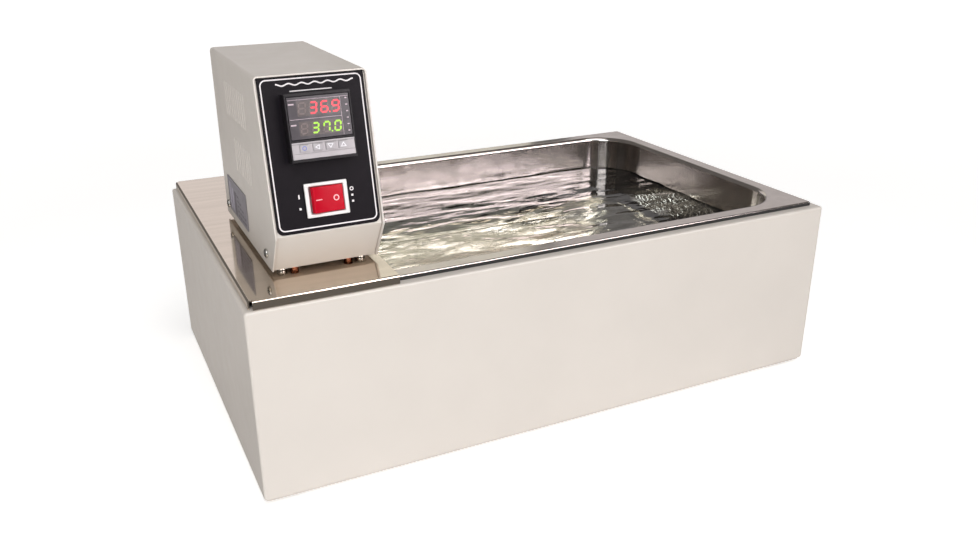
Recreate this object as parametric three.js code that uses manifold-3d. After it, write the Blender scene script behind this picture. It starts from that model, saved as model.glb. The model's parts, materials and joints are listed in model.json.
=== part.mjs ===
// Laboratory water bath: a stainless pan dropped into a painted sheet-metal case, with a control
// head on a stainless deck plate over the left end. The head carries the controller, the power
// switch, the immersion heater, the temperature probe and the stirrer, and lifts off as one unit.
//
// Millimetres, +Z up. The origin is on the table, under the middle of the case. The front is -Y.

import * as THREE from 'three';
import { mergeVertices } from 'three/addons/utils/BufferGeometryUtils.js';
import Module from 'manifold-3d';

const wasm = await Module();
wasm.setup();

// ---------------------------------------------------------------- driving dimensions

const sheet = 1.2;                 // painted and stainless sheet
const gap = 0.3;                   // between pieces that touch
const holeSlack = 0.7;             // hole diameter over screw diameter
const seatSlack = 0.8;             // cutout over the body that sits in it
const past = 1;                    // how far a cutting tool runs past the face it cuts

const foot = { diameter: 22, height: 5, inset: 22, counterbore: 10, counterboreDepth: 2.9 };
const caseBox = { length: 543, width: 341, height: 159, corner: 2.5, topFlange: 17, bottomFlange: 32 };
const rim = { length: 527, width: 324, rise: 3.8, band: 12, roll: 4, corner: 2, panCorner: 50 };
const pan = { depth: 149, sheet: 1.0, wallLean: 10, bottomRadius: 18 };
// the deck stands on the case's top flange, clear of the rim by lift above it and by the margins round it
const deck = { length: 114.3, lip: 6.9, notch: 3, lift: 2.3, sideMargin: 2.8, frontMargin: 5.5 };
const head = { width: 83, offset: 72.8, clearance: 4, bend: 3 };

// side profile of the head's cover, as distances behind the case's front face and heights over its base
const headProfile = { topFront: 44.5, kink: 19.5, tip: 40.5, back: 206, height: 144.6, kinkHeight: 32 };
const recess = 2.5;                // front panel behind the edge of the cover
const bendClearance = 1;           // keeps square panels clear of the cover's round inside corners
const label = { thickness: 0.5, margin: 0.8, top: 1.6, bottom: 113, corner: 5 };
const sideLabel = { length: 72, height: 31, thickness: 0.4, corner: 1.5, back: 20, rise: 24 };
const controller = { size: 48, drop: 38, proud: 11.5, body: 44.6, reach: 70 };   // drops are down the panel
const powerSwitch = { width: 32, height: 25, drop: 90.5, proud: 2.4, depth: 17 };
const rocker = { width: 23.6, height: 19, pivotDepth: 1.2, lean: 9, dish: 1.2, proud: 0.2 };
const heaterLeg = { diameter: 6.4, nut: 10.4, nutHeight: 7, inHead: 22 };
const heaterLoop = { spread: 43.2, depth: 50, reach: 148, bend: 14 };
const wool = { clearance: 8, corner: 10, underInset: 62 };
const probe = { diameter: 5, depth: 60, head: 26, gland: 11 };
const stirrer = {
  shaft: 5, hub: 12, hubHeight: 12, sweep: 32, depth: 62, pitch: 0.6, vane: { thick: 1.6, tall: 10 },
};

// ---------------------------------------------------------------- derived places

const baseTop = foot.height + gap + sheet;
const caseBottom = baseTop + gap;
const caseTop = caseBottom + caseBox.height;
const rimTop = caseTop + rim.rise;
const panFloor = rimTop - pan.depth;
const deckUnder = rimTop + deck.lift;
const deckTop = deckUnder + sheet;
const headBottom = deckTop + head.clearance;
const headTop = headBottom + headProfile.height;

const frontFace = -caseBox.width / 2;
const headX = -caseBox.length / 2 + head.offset;
const headBack = frontFace + headProfile.back;
const innerHalf = head.width / 2 - sheet;          // inside face of the cover's walls
const frameHalf = innerHalf - gap;                 // outside face of the chassis flanges

const deckLeft = -rim.length / 2 - deck.sideMargin - sheet;
const deckRight = deckLeft + deck.length;
const deckHalfWidth = rim.width / 2 + deck.frontMargin + sheet;

const corner = {
  topFront: [frontFace + headProfile.topFront, headTop],
  kink: [frontFace + headProfile.kink, headBottom + headProfile.kinkHeight],
  tip: [frontFace + headProfile.tip, headBottom],
  backBottom: [headBack, headBottom],
  backTop: [headBack, headTop],
};

const frontRow = frontFace + 54;                   // front standoffs, screws and heater legs
const backRow = headBack - 14;                     // back standoffs and screws
const standoffSpread = 63.2;
const probeY = frontRow + 32;
const stirrerY = frontRow + 72;

// ---------------------------------------------------------------- materials

const finish = (color, roughness, metalness) =>
  new THREE.MeshStandardMaterial({ color, roughness, metalness });

const finishes = {
  paint: () => finish(0xe4dad2, 0.5, 0),
  stainless: () => finish(0xa89c97, 0.22, 1),
  zinc: () => finish(0xb9b6b0, 0.35, 1),
  copper: () => finish(0xb8704a, 0.3, 1),
  brass: () => finish(0xb89a55, 0.3, 1),
  rubber: () => finish(0x232323, 0.85, 0),
  wool: () => finish(0xd9cc9a, 0.95, 0),
  label: () => finish(0x26202a, 0.4, 0),
  foil: () => finish(0x9b99a4, 0.35, 0.5),
  blackPlastic: () => finish(0x1c1b1d, 0.5, 0),
  displayPlastic: () => finish(0x17181a, 0.12, 0),
  silverPlastic: () => finish(0xc8c3c8, 0.35, 0.6),
  keyPlastic: () => finish(0xd2ced2, 0.45, 0.3),
  whitePlastic: () => finish(0xf2efee, 0.35, 0),
  redPlastic: () => finish(0xd8152f, 0.25, 0),
  motorSteel: () => finish(0x8d8f92, 0.45, 0.9),
  terminalPlastic: () => finish(0xcfc7a8, 0.6, 0),
};

// ---------------------------------------------------------------- solids

function toSolid(geometry) {
  const bare = geometry.clone();
  bare.deleteAttribute('normal');
  bare.deleteAttribute('uv');
  const merged = mergeVertices(bare, 1e-4);
  const vertProperties = new Float32Array(merged.attributes.position.array);
  const triVerts = new Uint32Array(merged.index.array);
  return new wasm.Manifold(new wasm.Mesh({ numProp: 3, vertProperties, triVerts }));
}

function toGeometry(solid) {
  const mesh = solid.getMesh();
  const geometry = new THREE.BufferGeometry();
  geometry.setAttribute('position', new THREE.BufferAttribute(new Float32Array(mesh.vertProperties), 3));
  geometry.setIndex(new THREE.BufferAttribute(new Uint32Array(mesh.triVerts), 1));
  geometry.computeVertexNormals();
  return geometry;
}

const join = (first, ...rest) =>
  toGeometry(rest.reduce((solid, piece) => solid.add(toSolid(piece)), toSolid(first)));

const cut = (body, ...tools) =>
  toGeometry(tools.reduce((solid, tool) => solid.subtract(toSolid(tool)), toSolid(body)));

const overlapOf = (first, second) => toGeometry(toSolid(first).intersect(toSolid(second)));

function block(low, high) {
  const size = high.map((value, axis) => value - low[axis]);
  const middle = high.map((value, axis) => (value + low[axis]) / 2);
  return new THREE.BoxGeometry(...size).translate(...middle);
}

// a round rod along Z, with sides flat faces
function rod(diameter, bottom, top, x = 0, y = 0, sides = 16) {
  const geometry = new THREE.CylinderGeometry(diameter / 2, diameter / 2, top - bottom, sides);
  return geometry.rotateX(Math.PI / 2).translate(x, y, (top + bottom) / 2);
}

const hexNut = (acrossFlats, bottom, top, x = 0, y = 0) =>
  rod(acrossFlats / Math.cos(Math.PI / 6), bottom, top, x, y, 6);

// a flat outline in X and Y, pulled up from bottom to top
function plateFrom(points, bottom, top) {
  const shape = new THREE.Shape(points.map(([x, y]) => new THREE.Vector2(x, y)));
  const geometry = new THREE.ExtrudeGeometry(shape, { depth: top - bottom, bevelEnabled: false });
  return geometry.translate(0, 0, bottom);
}

// a side profile in Y and Z, pulled along X about the middle of the head
function barFrom(points, halfWidth) {
  const shape = new THREE.Shape(points.map(([y, z]) => new THREE.Vector2(y, z)));
  const geometry = new THREE.ExtrudeGeometry(shape, { depth: 2 * halfWidth, bevelEnabled: false });
  geometry.rotateX(Math.PI / 2).rotateZ(Math.PI / 2);
  return geometry.translate(headX - halfWidth, 0, 0);
}

// points of a rectangle with round corners, each corner made of the same number of steps
function roundedRectangle(length, width, radius, steps) {
  const points = [];
  for (let quarter = 0; quarter < 4; quarter += 1) {
    const signX = quarter === 0 || quarter === 3 ? 1 : -1;
    const signY = quarter < 2 ? 1 : -1;
    for (let step = 0; step <= steps; step += 1) {
      const angle = (quarter + step / steps) * Math.PI / 2;
      points.push([
        signX * (length / 2 - radius) + radius * Math.cos(angle),
        signY * (width / 2 - radius) + radius * Math.sin(angle),
      ]);
    }
  }
  return points;
}

// A solid skinned over rounded rectangles, listed from the inside of the bottom outwards, up and back in.
// Each ring is { length, width, radius, z }. A looped solid joins its last ring to its first, like a
// picture frame; otherwise the first and last rings are closed with flat faces, like a tray.
function skinRings(rings, looped, steps = 6) {
  const outlines = rings.map((ring) => roundedRectangle(ring.length, ring.width, ring.radius, steps));
  const count = outlines[0].length;
  const positions = outlines.flatMap((points, ring) => points.flatMap(([x, y]) => [x, y, rings[ring].z]));
  const faces = [];
  const bands = looped ? rings.length : rings.length - 1;
  for (let band = 0; band < bands; band += 1) {
    const here = band * count;
    const next = ((band + 1) % rings.length) * count;
    for (let point = 0; point < count; point += 1) {
      const after = (point + 1) % count;
      faces.push(here + point, here + after, next + after, here + point, next + after, next + point);
    }
  }
  if (!looped) {
    const last = (rings.length - 1) * count;
    for (let point = 1; point < count - 1; point += 1) {
      faces.push(0, point + 1, point);
      faces.push(last, last + point, last + point + 1);
    }
  }
  const geometry = new THREE.BufferGeometry();
  geometry.setAttribute('position', new THREE.BufferAttribute(new Float32Array(positions), 3));
  geometry.setIndex(faces);
  geometry.computeVertexNormals();
  return geometry;
}

const ringInset = (box, inset, radius, z) => ({
  length: box.length - 2 * inset,
  width: box.width - 2 * inset,
  radius,
  z,
});

const turned = (points, sides = 16) => {
  const profile = points.map(([radius, height]) => new THREE.Vector2(radius, height));
  return new THREE.LatheGeometry(profile, sides).rotateX(Math.PI / 2);
};

// a pan-head screw along Z, its head's flat underside at 0 and its thread going down
function panScrew(headDiameter, headHeight, threadDiameter, threadLength) {
  const rise = headHeight * 0.45;
  return turned([
    [0, -threadLength],
    [threadDiameter / 2, -threadLength],
    [threadDiameter / 2, 0],
    [headDiameter / 2, 0],
    [headDiameter / 2, rise],
    [headDiameter * 0.38, headHeight * 0.88],
    [headDiameter * 0.2, headHeight],
    [0, headHeight],
  ], 14);
}

// ---------------------------------------------------------------- outlines of bent sheets

const along = (from, to) => {
  const length = Math.hypot(to[0] - from[0], to[1] - from[1]);
  return [(to[0] - from[0]) / length, (to[1] - from[1]) / length];
};

// the line from one point to another, moved sideways to the left of its direction
function movedLine(from, to, distance) {
  const [dy, dz] = along(from, to);
  return { point: [from[0] - dz * distance, from[1] + dy * distance], direction: [dy, dz] };
}

function crossing(first, second) {
  const [ay, az] = first.direction;
  const [by, bz] = second.direction;
  const cross = ay * bz - az * by;
  const t = ((second.point[0] - first.point[0]) * bz - (second.point[1] - first.point[1]) * by) / cross;
  return [first.point[0] + ay * t, first.point[1] + az * t];
}

// the chassis follows the front edge of the cover down and then runs back under the head
function chassisChain(frontOffset, bottomOffset) {
  const lines = [
    movedLine(corner.topFront, corner.kink, frontOffset),
    movedLine(corner.kink, corner.tip, frontOffset),
    movedLine(corner.tip, corner.backBottom, bottomOffset),
  ];
  const top = { point: [0, headTop - sheet - bendClearance], direction: [1, 0] };
  const end = { point: [headBack - 2.5, 0], direction: [0, 1] };
  return [
    crossing(lines[0], top),
    crossing(lines[0], lines[1]),
    crossing(lines[1], lines[2]),
    crossing(lines[2], end),
  ];
}

// ---------------------------------------------------------------- the scene

const bath = new THREE.Group();

// the tilted front panel: x to the right, z up the slope, y into the head, 0 at the panel's top edge
const slope = along(corner.topFront, corner.kink);
const panelLine = movedLine(corner.topFront, corner.kink, recess);
const panel = new THREE.Group();
panel.position.set(headX, panelLine.point[0], panelLine.point[1]);
panel.rotation.x = Math.asin(slope[0]);
panel.updateMatrix();
bath.add(panel);

const onPanel = (geometry) => geometry.clone().applyMatrix4(panel.matrix);

function place(name, geometry, material, parent = bath) {
  const mesh = new THREE.Mesh(geometry, material);
  mesh.name = name;
  parent.add(mesh);
  return mesh;
}

const corners = [
  ['front_left', -1, -1],
  ['front_right', 1, -1],
  ['back_left', -1, 1],
  ['back_right', 1, 1],
];

// ---------------------------------------------------------------- case, base and feet

const footSpots = corners.map(([name, signX, signY]) => ({
  name,
  x: signX * (caseBox.length / 2 - foot.inset),
  y: signY * (caseBox.width / 2 - foot.inset),
}));
const footScrew = { head: 8, headHeight: 1.8, thread: 3.6, length: 10 };
const footHole = footScrew.thread + holeSlack;

function outerCase() {
  const { corner: round, topFlange, bottomFlange } = caseBox;
  const shell = skinRings([
    ringInset(caseBox, bottomFlange, round, caseBottom),
    ringInset(caseBox, 0, round, caseBottom),
    ringInset(caseBox, 0, round, caseTop),
    ringInset(caseBox, topFlange, round, caseTop),
    ringInset(caseBox, topFlange, round, caseTop - sheet),
    ringInset(caseBox, sheet, round - sheet, caseTop - sheet),
    ringInset(caseBox, sheet, round - sheet, caseBottom + sheet),
    ringInset(caseBox, bottomFlange, round, caseBottom + sheet),
  ], true, 3);
  const holeTop = caseBottom + sheet + past;
  const holes = footSpots.map(({ x, y }) => rod(footHole, caseBottom - past, holeTop, x, y, 10));
  return cut(shell, ...holes);
}

function basePanel() {
  const inset = 2;
  const outline = roundedRectangle(caseBox.length - 2 * inset, caseBox.width - 2 * inset, caseBox.corner, 3);
  const holes = footSpots.map(({ x, y }) => rod(footHole, foot.height, baseTop + past, x, y, 10));
  return cut(plateFrom(outline, foot.height + gap, baseTop), ...holes);
}

const footProfile = turned([
  [footHole / 2, foot.height],
  [footHole / 2, foot.counterboreDepth],
  [foot.counterbore / 2, foot.counterboreDepth],
  [foot.counterbore / 2, 0],
  [foot.diameter / 2 - 1, 0],
  [foot.diameter / 2, 1],
  [foot.diameter / 2 - 1, foot.height],
  [footHole / 2, foot.height],
], 20);

place('outer_case', outerCase(), finishes.paint());
place('base_panel', basePanel(), finishes.paint());
for (const { name, x, y } of footSpots) {
  place(`foot_${name}`, footProfile, finishes.rubber()).position.set(x, y, 0);
  const screw = panScrew(footScrew.head, footScrew.headHeight, footScrew.thread, footScrew.length);
  const fixing = place(`foot_screw_${name}`, screw, finishes.zinc());
  fixing.rotation.x = Math.PI;
  fixing.position.set(x, y, foot.counterboreDepth - gap);
}

// ---------------------------------------------------------------- pan, gasket and insulation

// how far the pan's inside face stands in from the rim's edge at a height
function panInset(z) {
  const wallTop = rimTop - rim.roll;
  const wallBottom = panFloor + pan.bottomRadius;
  const fall = Math.min(Math.max((wallTop - z) / (wallTop - wallBottom), 0), 1);
  return rim.band + rim.roll + fall * pan.wallLean;
}

// an outline of the pan at a height: every corner is drawn about the same centre
const panRing = (inset, z) => ringInset(rim, inset, rim.panCorner + rim.band - inset, z);

// one face of the pan from the rim to the floor, moved out by the sheet's thickness for the outside
function panFace(thickness) {
  const wallBottom = panFloor + pan.bottomRadius;
  const floorInset = rim.band + rim.roll + pan.wallLean;
  const rings = [];
  for (let step = 0; step <= 2; step += 1) {
    const angle = step / 2 * Math.PI / 2;
    const radius = rim.roll - thickness;
    rings.push(panRing(rim.band + radius * Math.cos(angle), rimTop - rim.roll + radius * Math.sin(angle)));
  }
  rings.reverse();
  for (let step = 0; step <= 3; step += 1) {
    const angle = step / 3 * Math.PI / 2;
    const radius = pan.bottomRadius + thickness;
    const inset = floorInset - thickness + radius * (1 - Math.cos(angle));
    rings.push(panRing(inset, wallBottom - radius * Math.sin(angle)));
  }
  return rings;
}

function bathTank() {
  const inside = panFace(0);
  const outside = panFace(pan.sheet);
  const lipBottom = caseTop + 0.4;
  const rimEdge = [
    ringInset(rim, pan.sheet, rim.corner - pan.sheet, rimTop - pan.sheet),
    ringInset(rim, pan.sheet, rim.corner - pan.sheet, lipBottom),
    ringInset(rim, 0, rim.corner, lipBottom),
    ringInset(rim, 0, rim.corner, rimTop),
  ];
  return skinRings([...outside.reverse(), ...rimEdge, ...inside], false);
}

function tankGasket() {
  const outer = { inset: pan.sheet + 1, corner: 2 };
  const inner = { inset: rim.band - 3, corner: 4 };
  const bottom = caseTop + gap;
  const top = rimTop - pan.sheet - gap;
  return skinRings([
    ringInset(rim, inner.inset, inner.corner, bottom),
    ringInset(rim, outer.inset, outer.corner, bottom),
    ringInset(rim, outer.inset, outer.corner, top),
    ringInset(rim, inner.inset, inner.corner, top),
  ], true, 2);
}

// a blanket around the pan's walls, short of the bottom curve and of the case's top flange
function sideInsulation() {
  const bottom = panFloor + pan.bottomRadius + wool.clearance;
  const top = caseTop - wool.clearance;
  const backing = (rim.length - caseBox.length) / 2 + wool.clearance;
  const wall = (z) => panInset(z) - pan.sheet - 1;
  return skinRings([
    panRing(wall(bottom), bottom),
    ringInset(rim, backing, wool.corner, bottom),
    ringInset(rim, backing, wool.corner, top),
    panRing(wall(top), top),
  ], true);
}

function bottomInsulation() {
  const length = caseBox.length - 2 * wool.underInset;
  const width = caseBox.width - 2 * wool.underInset;
  const outline = roundedRectangle(length, width, wool.corner, 3);
  return plateFrom(outline, baseTop + gap, panFloor - pan.sheet - gap);
}

place('bath_tank', bathTank(), finishes.stainless());
place('tank_gasket', tankGasket(), finishes.rubber());
place('side_insulation', sideInsulation(), finishes.wool());
place('bottom_insulation', bottomInsulation(), finishes.wool());

// ---------------------------------------------------------------- deck plate and standoffs

const deckScrew = { head: 7.6, headHeight: 2.4, thread: 3.9 };
const deckHole = deckScrew.thread + holeSlack;
const standoffDiameter = 8;
const standoffNut = { acrossFlats: 7, height: 3 };
const chassisFloorTop = headBottom + sheet;

const standoffSpots = [
  ['front_left', -1, frontRow],
  ['front_right', 1, frontRow],
  ['back_left', -1, backRow],
  ['back_right', 1, backRow],
].map(([name, side, y]) => ({ name, x: headX + side * standoffSpread / 2, y }));

const heaterSpots = [
  ['left', headX - heaterLoop.spread / 2],
  ['right', headX + heaterLoop.spread / 2],
].map(([name, x]) => ({ name, x, y: frontRow }));

// the holes that the deck plate and the floor of the head share
function throughHoles(sheetBottom, sheetTop, legHole) {
  const bottom = sheetBottom - past;
  const top = sheetTop + past;
  return [
    ...standoffSpots.map(({ x, y }) => rod(deckHole, bottom, top, x, y, 12)),
    ...heaterSpots.map(({ x, y }) => rod(legHole, bottom, top, x, y, 14)),
    rod(probe.diameter + holeSlack, bottom, top, headX, probeY, 12),
    rod(stirrer.hub, bottom, top, headX, stirrerY, 16),
  ];
}

function deckPlate() {
  const lipBottom = deckTop - deck.lip;
  const { notch } = deck;
  const plate = block([deckLeft, -deckHalfWidth, deckUnder], [deckRight, deckHalfWidth, deckTop]);
  const notches = [-1, 1].map((side) => {
    const edge = side * deckHalfWidth;
    const inner = side * (deckHalfWidth - notch);
    const low = [deckLeft - 1, Math.min(edge + side, inner), lipBottom - 1];
    return block(low, [deckLeft + notch, Math.max(edge + side, inner), deckTop + 1]);
  });
  const lips = [
    block([deckLeft + notch + gap, -deckHalfWidth, lipBottom], [deckRight, sheet - deckHalfWidth, deckTop]),
    block([deckLeft + notch + gap, deckHalfWidth - sheet, lipBottom], [deckRight, deckHalfWidth, deckTop]),
    block([deckLeft, notch + gap - deckHalfWidth, lipBottom],
      [deckLeft + sheet, deckHalfWidth - notch - gap, deckTop]),
  ];
  const holes = throughHoles(deckUnder, deckTop, heaterLeg.diameter + holeSlack);
  return join(cut(plate, ...notches, ...holes), ...lips);
}

place('deck_plate', deckPlate(), finishes.stainless());

for (const { name, x, y } of standoffSpots) {
  const tube = turned([
    [deckHole / 2, deckTop + gap],
    [standoffDiameter / 2, deckTop + gap],
    [standoffDiameter / 2, headBottom - gap],
    [deckHole / 2, headBottom - gap],
    [deckHole / 2, deckTop + gap],
  ]);
  place(`standoff_${name}`, tube, finishes.zinc()).position.set(x, y, 0);

  const nutBottom = chassisFloorTop + gap;
  const nutTop = nutBottom + standoffNut.height;
  const nut = cut(
    hexNut(standoffNut.acrossFlats, nutBottom, nutTop),
    rod(deckHole, nutBottom - past, nutTop + past, 0, 0, 12),
  );
  place(`standoff_nut_${name}`, nut, finishes.zinc()).position.set(x, y, 0);

  const reach = nutTop + 2 - (deckUnder - gap);
  const screw = panScrew(deckScrew.head, deckScrew.headHeight, deckScrew.thread, reach);
  const fixing = place(`standoff_screw_${name}`, screw, finishes.zinc());
  fixing.rotation.x = Math.PI;
  fixing.position.set(x, y, deckUnder - gap);
}

// ---------------------------------------------------------------- head: cover, chassis, rear panel

const coverScrew = { head: 7, headHeight: 2.2, thread: 3.6, length: 7 };
const coverHole = coverScrew.thread + holeSlack;
const coverScrewHeight = headBottom + 11.5;
const coverScrewRows = [['front', frontRow - 1.5], ['back', headBack - 15]];
const vent = { width: 2.2, pitch: 7.6 };
const ventRows = [
  { count: 10, front: frontFace + 85, bottom: headBottom + 98, height: 27 },
  { count: 8, front: frontFace + 82, bottom: headBottom + 54, height: 28 },
];

// a rod through both side walls of the head at one place
const sideDrill = (diameter, y, z) =>
  rod(diameter, -head.width, head.width, 0, 0, 10).rotateY(Math.PI / 2).translate(headX, y, z);

const coverDrills = () => coverScrewRows.map(([, y]) => sideDrill(coverHole, y, coverScrewHeight));

function headShell() {
  const outline = [corner.topFront, corner.kink, corner.tip, corner.backBottom, corner.backTop];
  const profile = barFrom(outline, head.width / 2);
  const arch = (halfWidth, top, radius) => {
    const points = [[-halfWidth, 0], [halfWidth, 0]];
    for (let step = 0; step <= 4; step += 1) {
      const angle = step / 4 * Math.PI / 2;
      points.push([halfWidth - radius * (1 - Math.cos(angle)), top - radius * (1 - Math.sin(angle))]);
    }
    const mirrored = points.slice(2).reverse().map(([x, z]) => [-x, z]);
    return [...points, ...mirrored];
  };
  const tunnel = (halfWidth, top, radius) =>
    plateFrom(arch(halfWidth, top, radius), -caseBox.width, caseBox.width)
      .rotateX(Math.PI / 2)
      .translate(headX, 0, 0);
  const outer = tunnel(head.width / 2, headTop, head.bend);
  const inner = tunnel(innerHalf, headTop - sheet, head.bend - sheet);
  const slots = [];
  for (const { count, front, bottom, height } of ventRows) {
    for (let slot = 0; slot < count; slot += 1) {
      const y = front + slot * vent.pitch;
      const low = [headX - head.width, y, bottom];
      slots.push(block(low, [headX + head.width, y + vent.width, bottom + height]));
    }
  }
  const cover = cut(overlapOf(outer, profile), inner);
  return cut(cover, ...slots, ...coverDrills());
}

const controllerCentre = -controller.drop;
const switchCentre = -powerSwitch.drop;
const switchBody = { width: 27, height: 21.6 };

// a block in the panel's frame, centred on the panel's middle line
const panelBlock = (width, height, centre, near, far) =>
  block([-width / 2, near, centre - height / 2], [width / 2, far, centre + height / 2]);

// cutters for the openings that hold the controller and the switch
function panelCutouts(slack) {
  const reach = 10;
  const { body } = controller;
  return [
    panelBlock(body + slack, body + slack, controllerCentre, -reach, reach),
    panelBlock(switchBody.width + slack, switchBody.height + slack, switchCentre, -reach, reach),
  ];
}

function headChassis() {
  const outer = chassisChain(recess, 0);
  const inner = chassisChain(recess + sheet, sheet);
  const strip = barFrom([...outer, ...inner.reverse()], frameHalf);
  const flangeTop = headBottom + 20;
  const flanges = [-1, 1].map((side) => {
    const outside = headX + side * frameHalf;
    const inside = outside - side * sheet;
    const low = [Math.min(outside, inside), frontRow - 7, headBottom];
    return block(low, [Math.max(outside, inside), headBack - 27, flangeTop]);
  });
  const cutouts = panelCutouts(seatSlack).map(onPanel);
  const holes = throughHoles(headBottom, chassisFloorTop, heaterLeg.diameter + 2 * holeSlack);
  return cut(join(strip, ...flanges), ...cutouts, ...holes, ...coverDrills());
}

const rearRow = headBottom + 24;                   // inlet and fuse holder
const inlet = {
  x: headX + 16, z: rearRow, width: 27.4, height: 20,
  flangeWidth: 34, flangeHeight: 26, wall: 2, wellDepth: 16,
};
const fuse = { x: headX - 22, z: rearRow, body: 12, cap: 15, capHeight: 4.5 };
const terminals = { length: 54, poles: 6 };
const rearInside = headBack - sheet - 1.3;
const rearOutside = rearInside + sheet;

const rearFace = rearOutside + gap;

// a block centred on x and z, from y = near to y = far
const rearBlock = (x, z, width, height, near, far) =>
  block([x - width / 2, near, z - height / 2], [x + width / 2, far, z + height / 2]);

// a rod along Y
const rodAlongY = (diameter, near, far, x, z, sides = 16) =>
  rod(diameter, near, far, 0, 0, sides).rotateX(-Math.PI / 2).translate(x, 0, z);

function rearPanel() {
  const bottom = chassisFloorTop + gap;
  const top = headTop - sheet - bendClearance;
  const plate = block([headX - frameHalf, rearInside, bottom], [headX + frameHalf, rearOutside, top]);
  const flanges = [-1, 1].map((side) => {
    const outside = headX + side * frameHalf;
    const inside = outside - side * sheet;
    const low = [Math.min(outside, inside), headBack - 24, bottom];
    return block(low, [Math.max(outside, inside), rearOutside, top]);
  });
  const near = rearInside - past;
  const far = rearOutside + past;
  const inletHole = rearBlock(inlet.x, inlet.z, inlet.width + seatSlack, inlet.height + seatSlack, near, far);
  const fuseHole = rodAlongY(fuse.body + seatSlack, near, far, fuse.x, fuse.z);
  return cut(join(plate, ...flanges), inletHole, fuseHole, ...coverDrills());
}

place('head_shell', headShell(), finishes.paint());
place('head_chassis', headChassis(), finishes.paint());
place('rear_panel', rearPanel(), finishes.paint());
for (const [row, y] of coverScrewRows) {
  for (const [sideName, side] of [['left', -1], ['right', 1]]) {
    const screw = panScrew(coverScrew.head, coverScrew.headHeight, coverScrew.thread, coverScrew.length);
    const fixing = place(`shell_screw_${row}_${sideName}`, screw, finishes.zinc());
    fixing.rotation.y = side * Math.PI / 2;
    fixing.position.set(headX + side * (head.width / 2 + gap), y, coverScrewHeight);
  }
}

// a printed foil on the cover's left side, in front of its back screw
function ratingLabel() {
  const { length, height, thickness, corner: round } = sideLabel;
  const outline = roundedRectangle(height, length, round, 3);
  return plateFrom(outline, gap, gap + thickness)
    .rotateY(-Math.PI / 2)
    .translate(headX - head.width / 2, headBack - sideLabel.back - length / 2, headBottom + sideLabel.rise);
}

place('rating_label', ratingLabel(), finishes.foil());

// ---------------------------------------------------------------- label, controller and switch

const labelFace = -gap - label.thickness;
const bezelBack = labelFace - gap;
const bezelFront = bezelBack - controller.proud;
const windowSpan = { width: 45.6, height: 30.4, centre: controllerCentre + 6.6, seat: 1.8, sunk: 0.2 };
const stripSpan = { width: 46.4, height: 12.4, centre: controllerCentre - 16, seat: 3.4, proud: 0.4 };
const stripFace = bezelFront - stripSpan.proud;
const stripBack = stripFace + 1.4;
const key = { width: 6.6, height: 4.8, thick: 2.2, proud: 0.5, pitch: 9.5 };
const keyCentre = stripSpan.centre + 1.6;
const keyNames = ['set', 'shift', 'down', 'up'];
const keySpots = keyNames.map((name, index) => [name, (index - 1.5) * key.pitch]);

function controlLabel() {
  const halfWidth = frameHalf - label.margin;
  const round = label.corner;
  const points = [[-halfWidth, -label.top]];
  for (const [side, quarter] of [[-1, 2], [1, 3]]) {
    const middle = [side * (halfWidth - round), round - label.bottom];
    for (let step = 0; step <= 4; step += 1) {
      const angle = (quarter + step / 4) * Math.PI / 2;
      points.push([middle[0] + round * Math.cos(angle), middle[1] + round * Math.sin(angle)]);
    }
  }
  points.push([halfWidth, -label.top]);
  const plate = plateFrom(points, gap, gap + label.thickness).rotateX(Math.PI / 2);
  return cut(plate, ...panelCutouts(2 * seatSlack));
}

function controllerBezel() {
  const { size } = controller;
  const frame = panelBlock(size, size, controllerCentre, bezelFront, bezelBack);
  const seats = [windowSpan, stripSpan].map(({ width, height, centre, seat }) =>
    panelBlock(width, height, centre, bezelFront - past, bezelFront + seat));
  return cut(frame, ...seats);
}

const shrunk = (span, near, far) =>
  panelBlock(span.width - 2 * gap, span.height - 2 * gap, span.centre, near, far);

function keyStrip() {
  const halfWidth = key.width / 2 + gap;
  const halfHeight = key.height / 2 + gap;
  const holes = keySpots.map(([, x]) => block(
    [x - halfWidth, stripFace - past, keyCentre - halfHeight],
    [x + halfWidth, stripBack + past, keyCentre + halfHeight],
  ));
  return cut(shrunk(stripSpan, stripFace, stripBack), ...holes);
}

// the collar that holds the controller against the back of the panel
function controllerClamp() {
  const near = sheet + gap;
  const far = near + 8;
  const opening = controller.body + seatSlack;
  return cut(
    panelBlock(54, 50, controllerCentre, near, far),
    panelBlock(opening, opening, controllerCentre, near - past, far + past),
  );
}

place('control_label', controlLabel(), finishes.label(), panel);
place('controller_bezel', controllerBezel(), finishes.blackPlastic(), panel);
const windowFace = bezelFront + windowSpan.sunk;
const windowPane = shrunk(windowSpan, windowFace, bezelFront + windowSpan.seat - gap);
place('controller_window', windowPane, finishes.displayPlastic(), panel);
place('controller_key_strip', keyStrip(), finishes.silverPlastic(), panel);
for (const [name, x] of keySpots) {
  const cap = block([-key.width / 2, 0, -key.height / 2], [key.width / 2, key.thick, key.height / 2]);
  const button = place(`key_${name}`, cap, finishes.keyPlastic(), panel);
  button.position.set(x, stripFace - key.proud, keyCentre);
}
const { body: housingSize, reach: housingReach } = controller;
const housing = panelBlock(housingSize, housingSize, controllerCentre, bezelBack + gap, housingReach);
place('controller_housing', housing, finishes.blackPlastic(), panel);
place('controller_clamp', controllerClamp(), finishes.blackPlastic(), panel);

const switchFace = bezelBack - powerSwitch.proud;
const pocket = { width: 26, height: 20, depth: 9 };

function switchHousing() {
  const flange = panelBlock(powerSwitch.width, powerSwitch.height, switchCentre, switchFace, bezelBack);
  const { width, height } = switchBody;
  const body = panelBlock(width, height, switchCentre, bezelBack - past, powerSwitch.depth);
  const well = panelBlock(pocket.width, pocket.height, switchCentre, switchFace - past, pocket.depth);
  return cut(join(flange, body), well);
}

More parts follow.
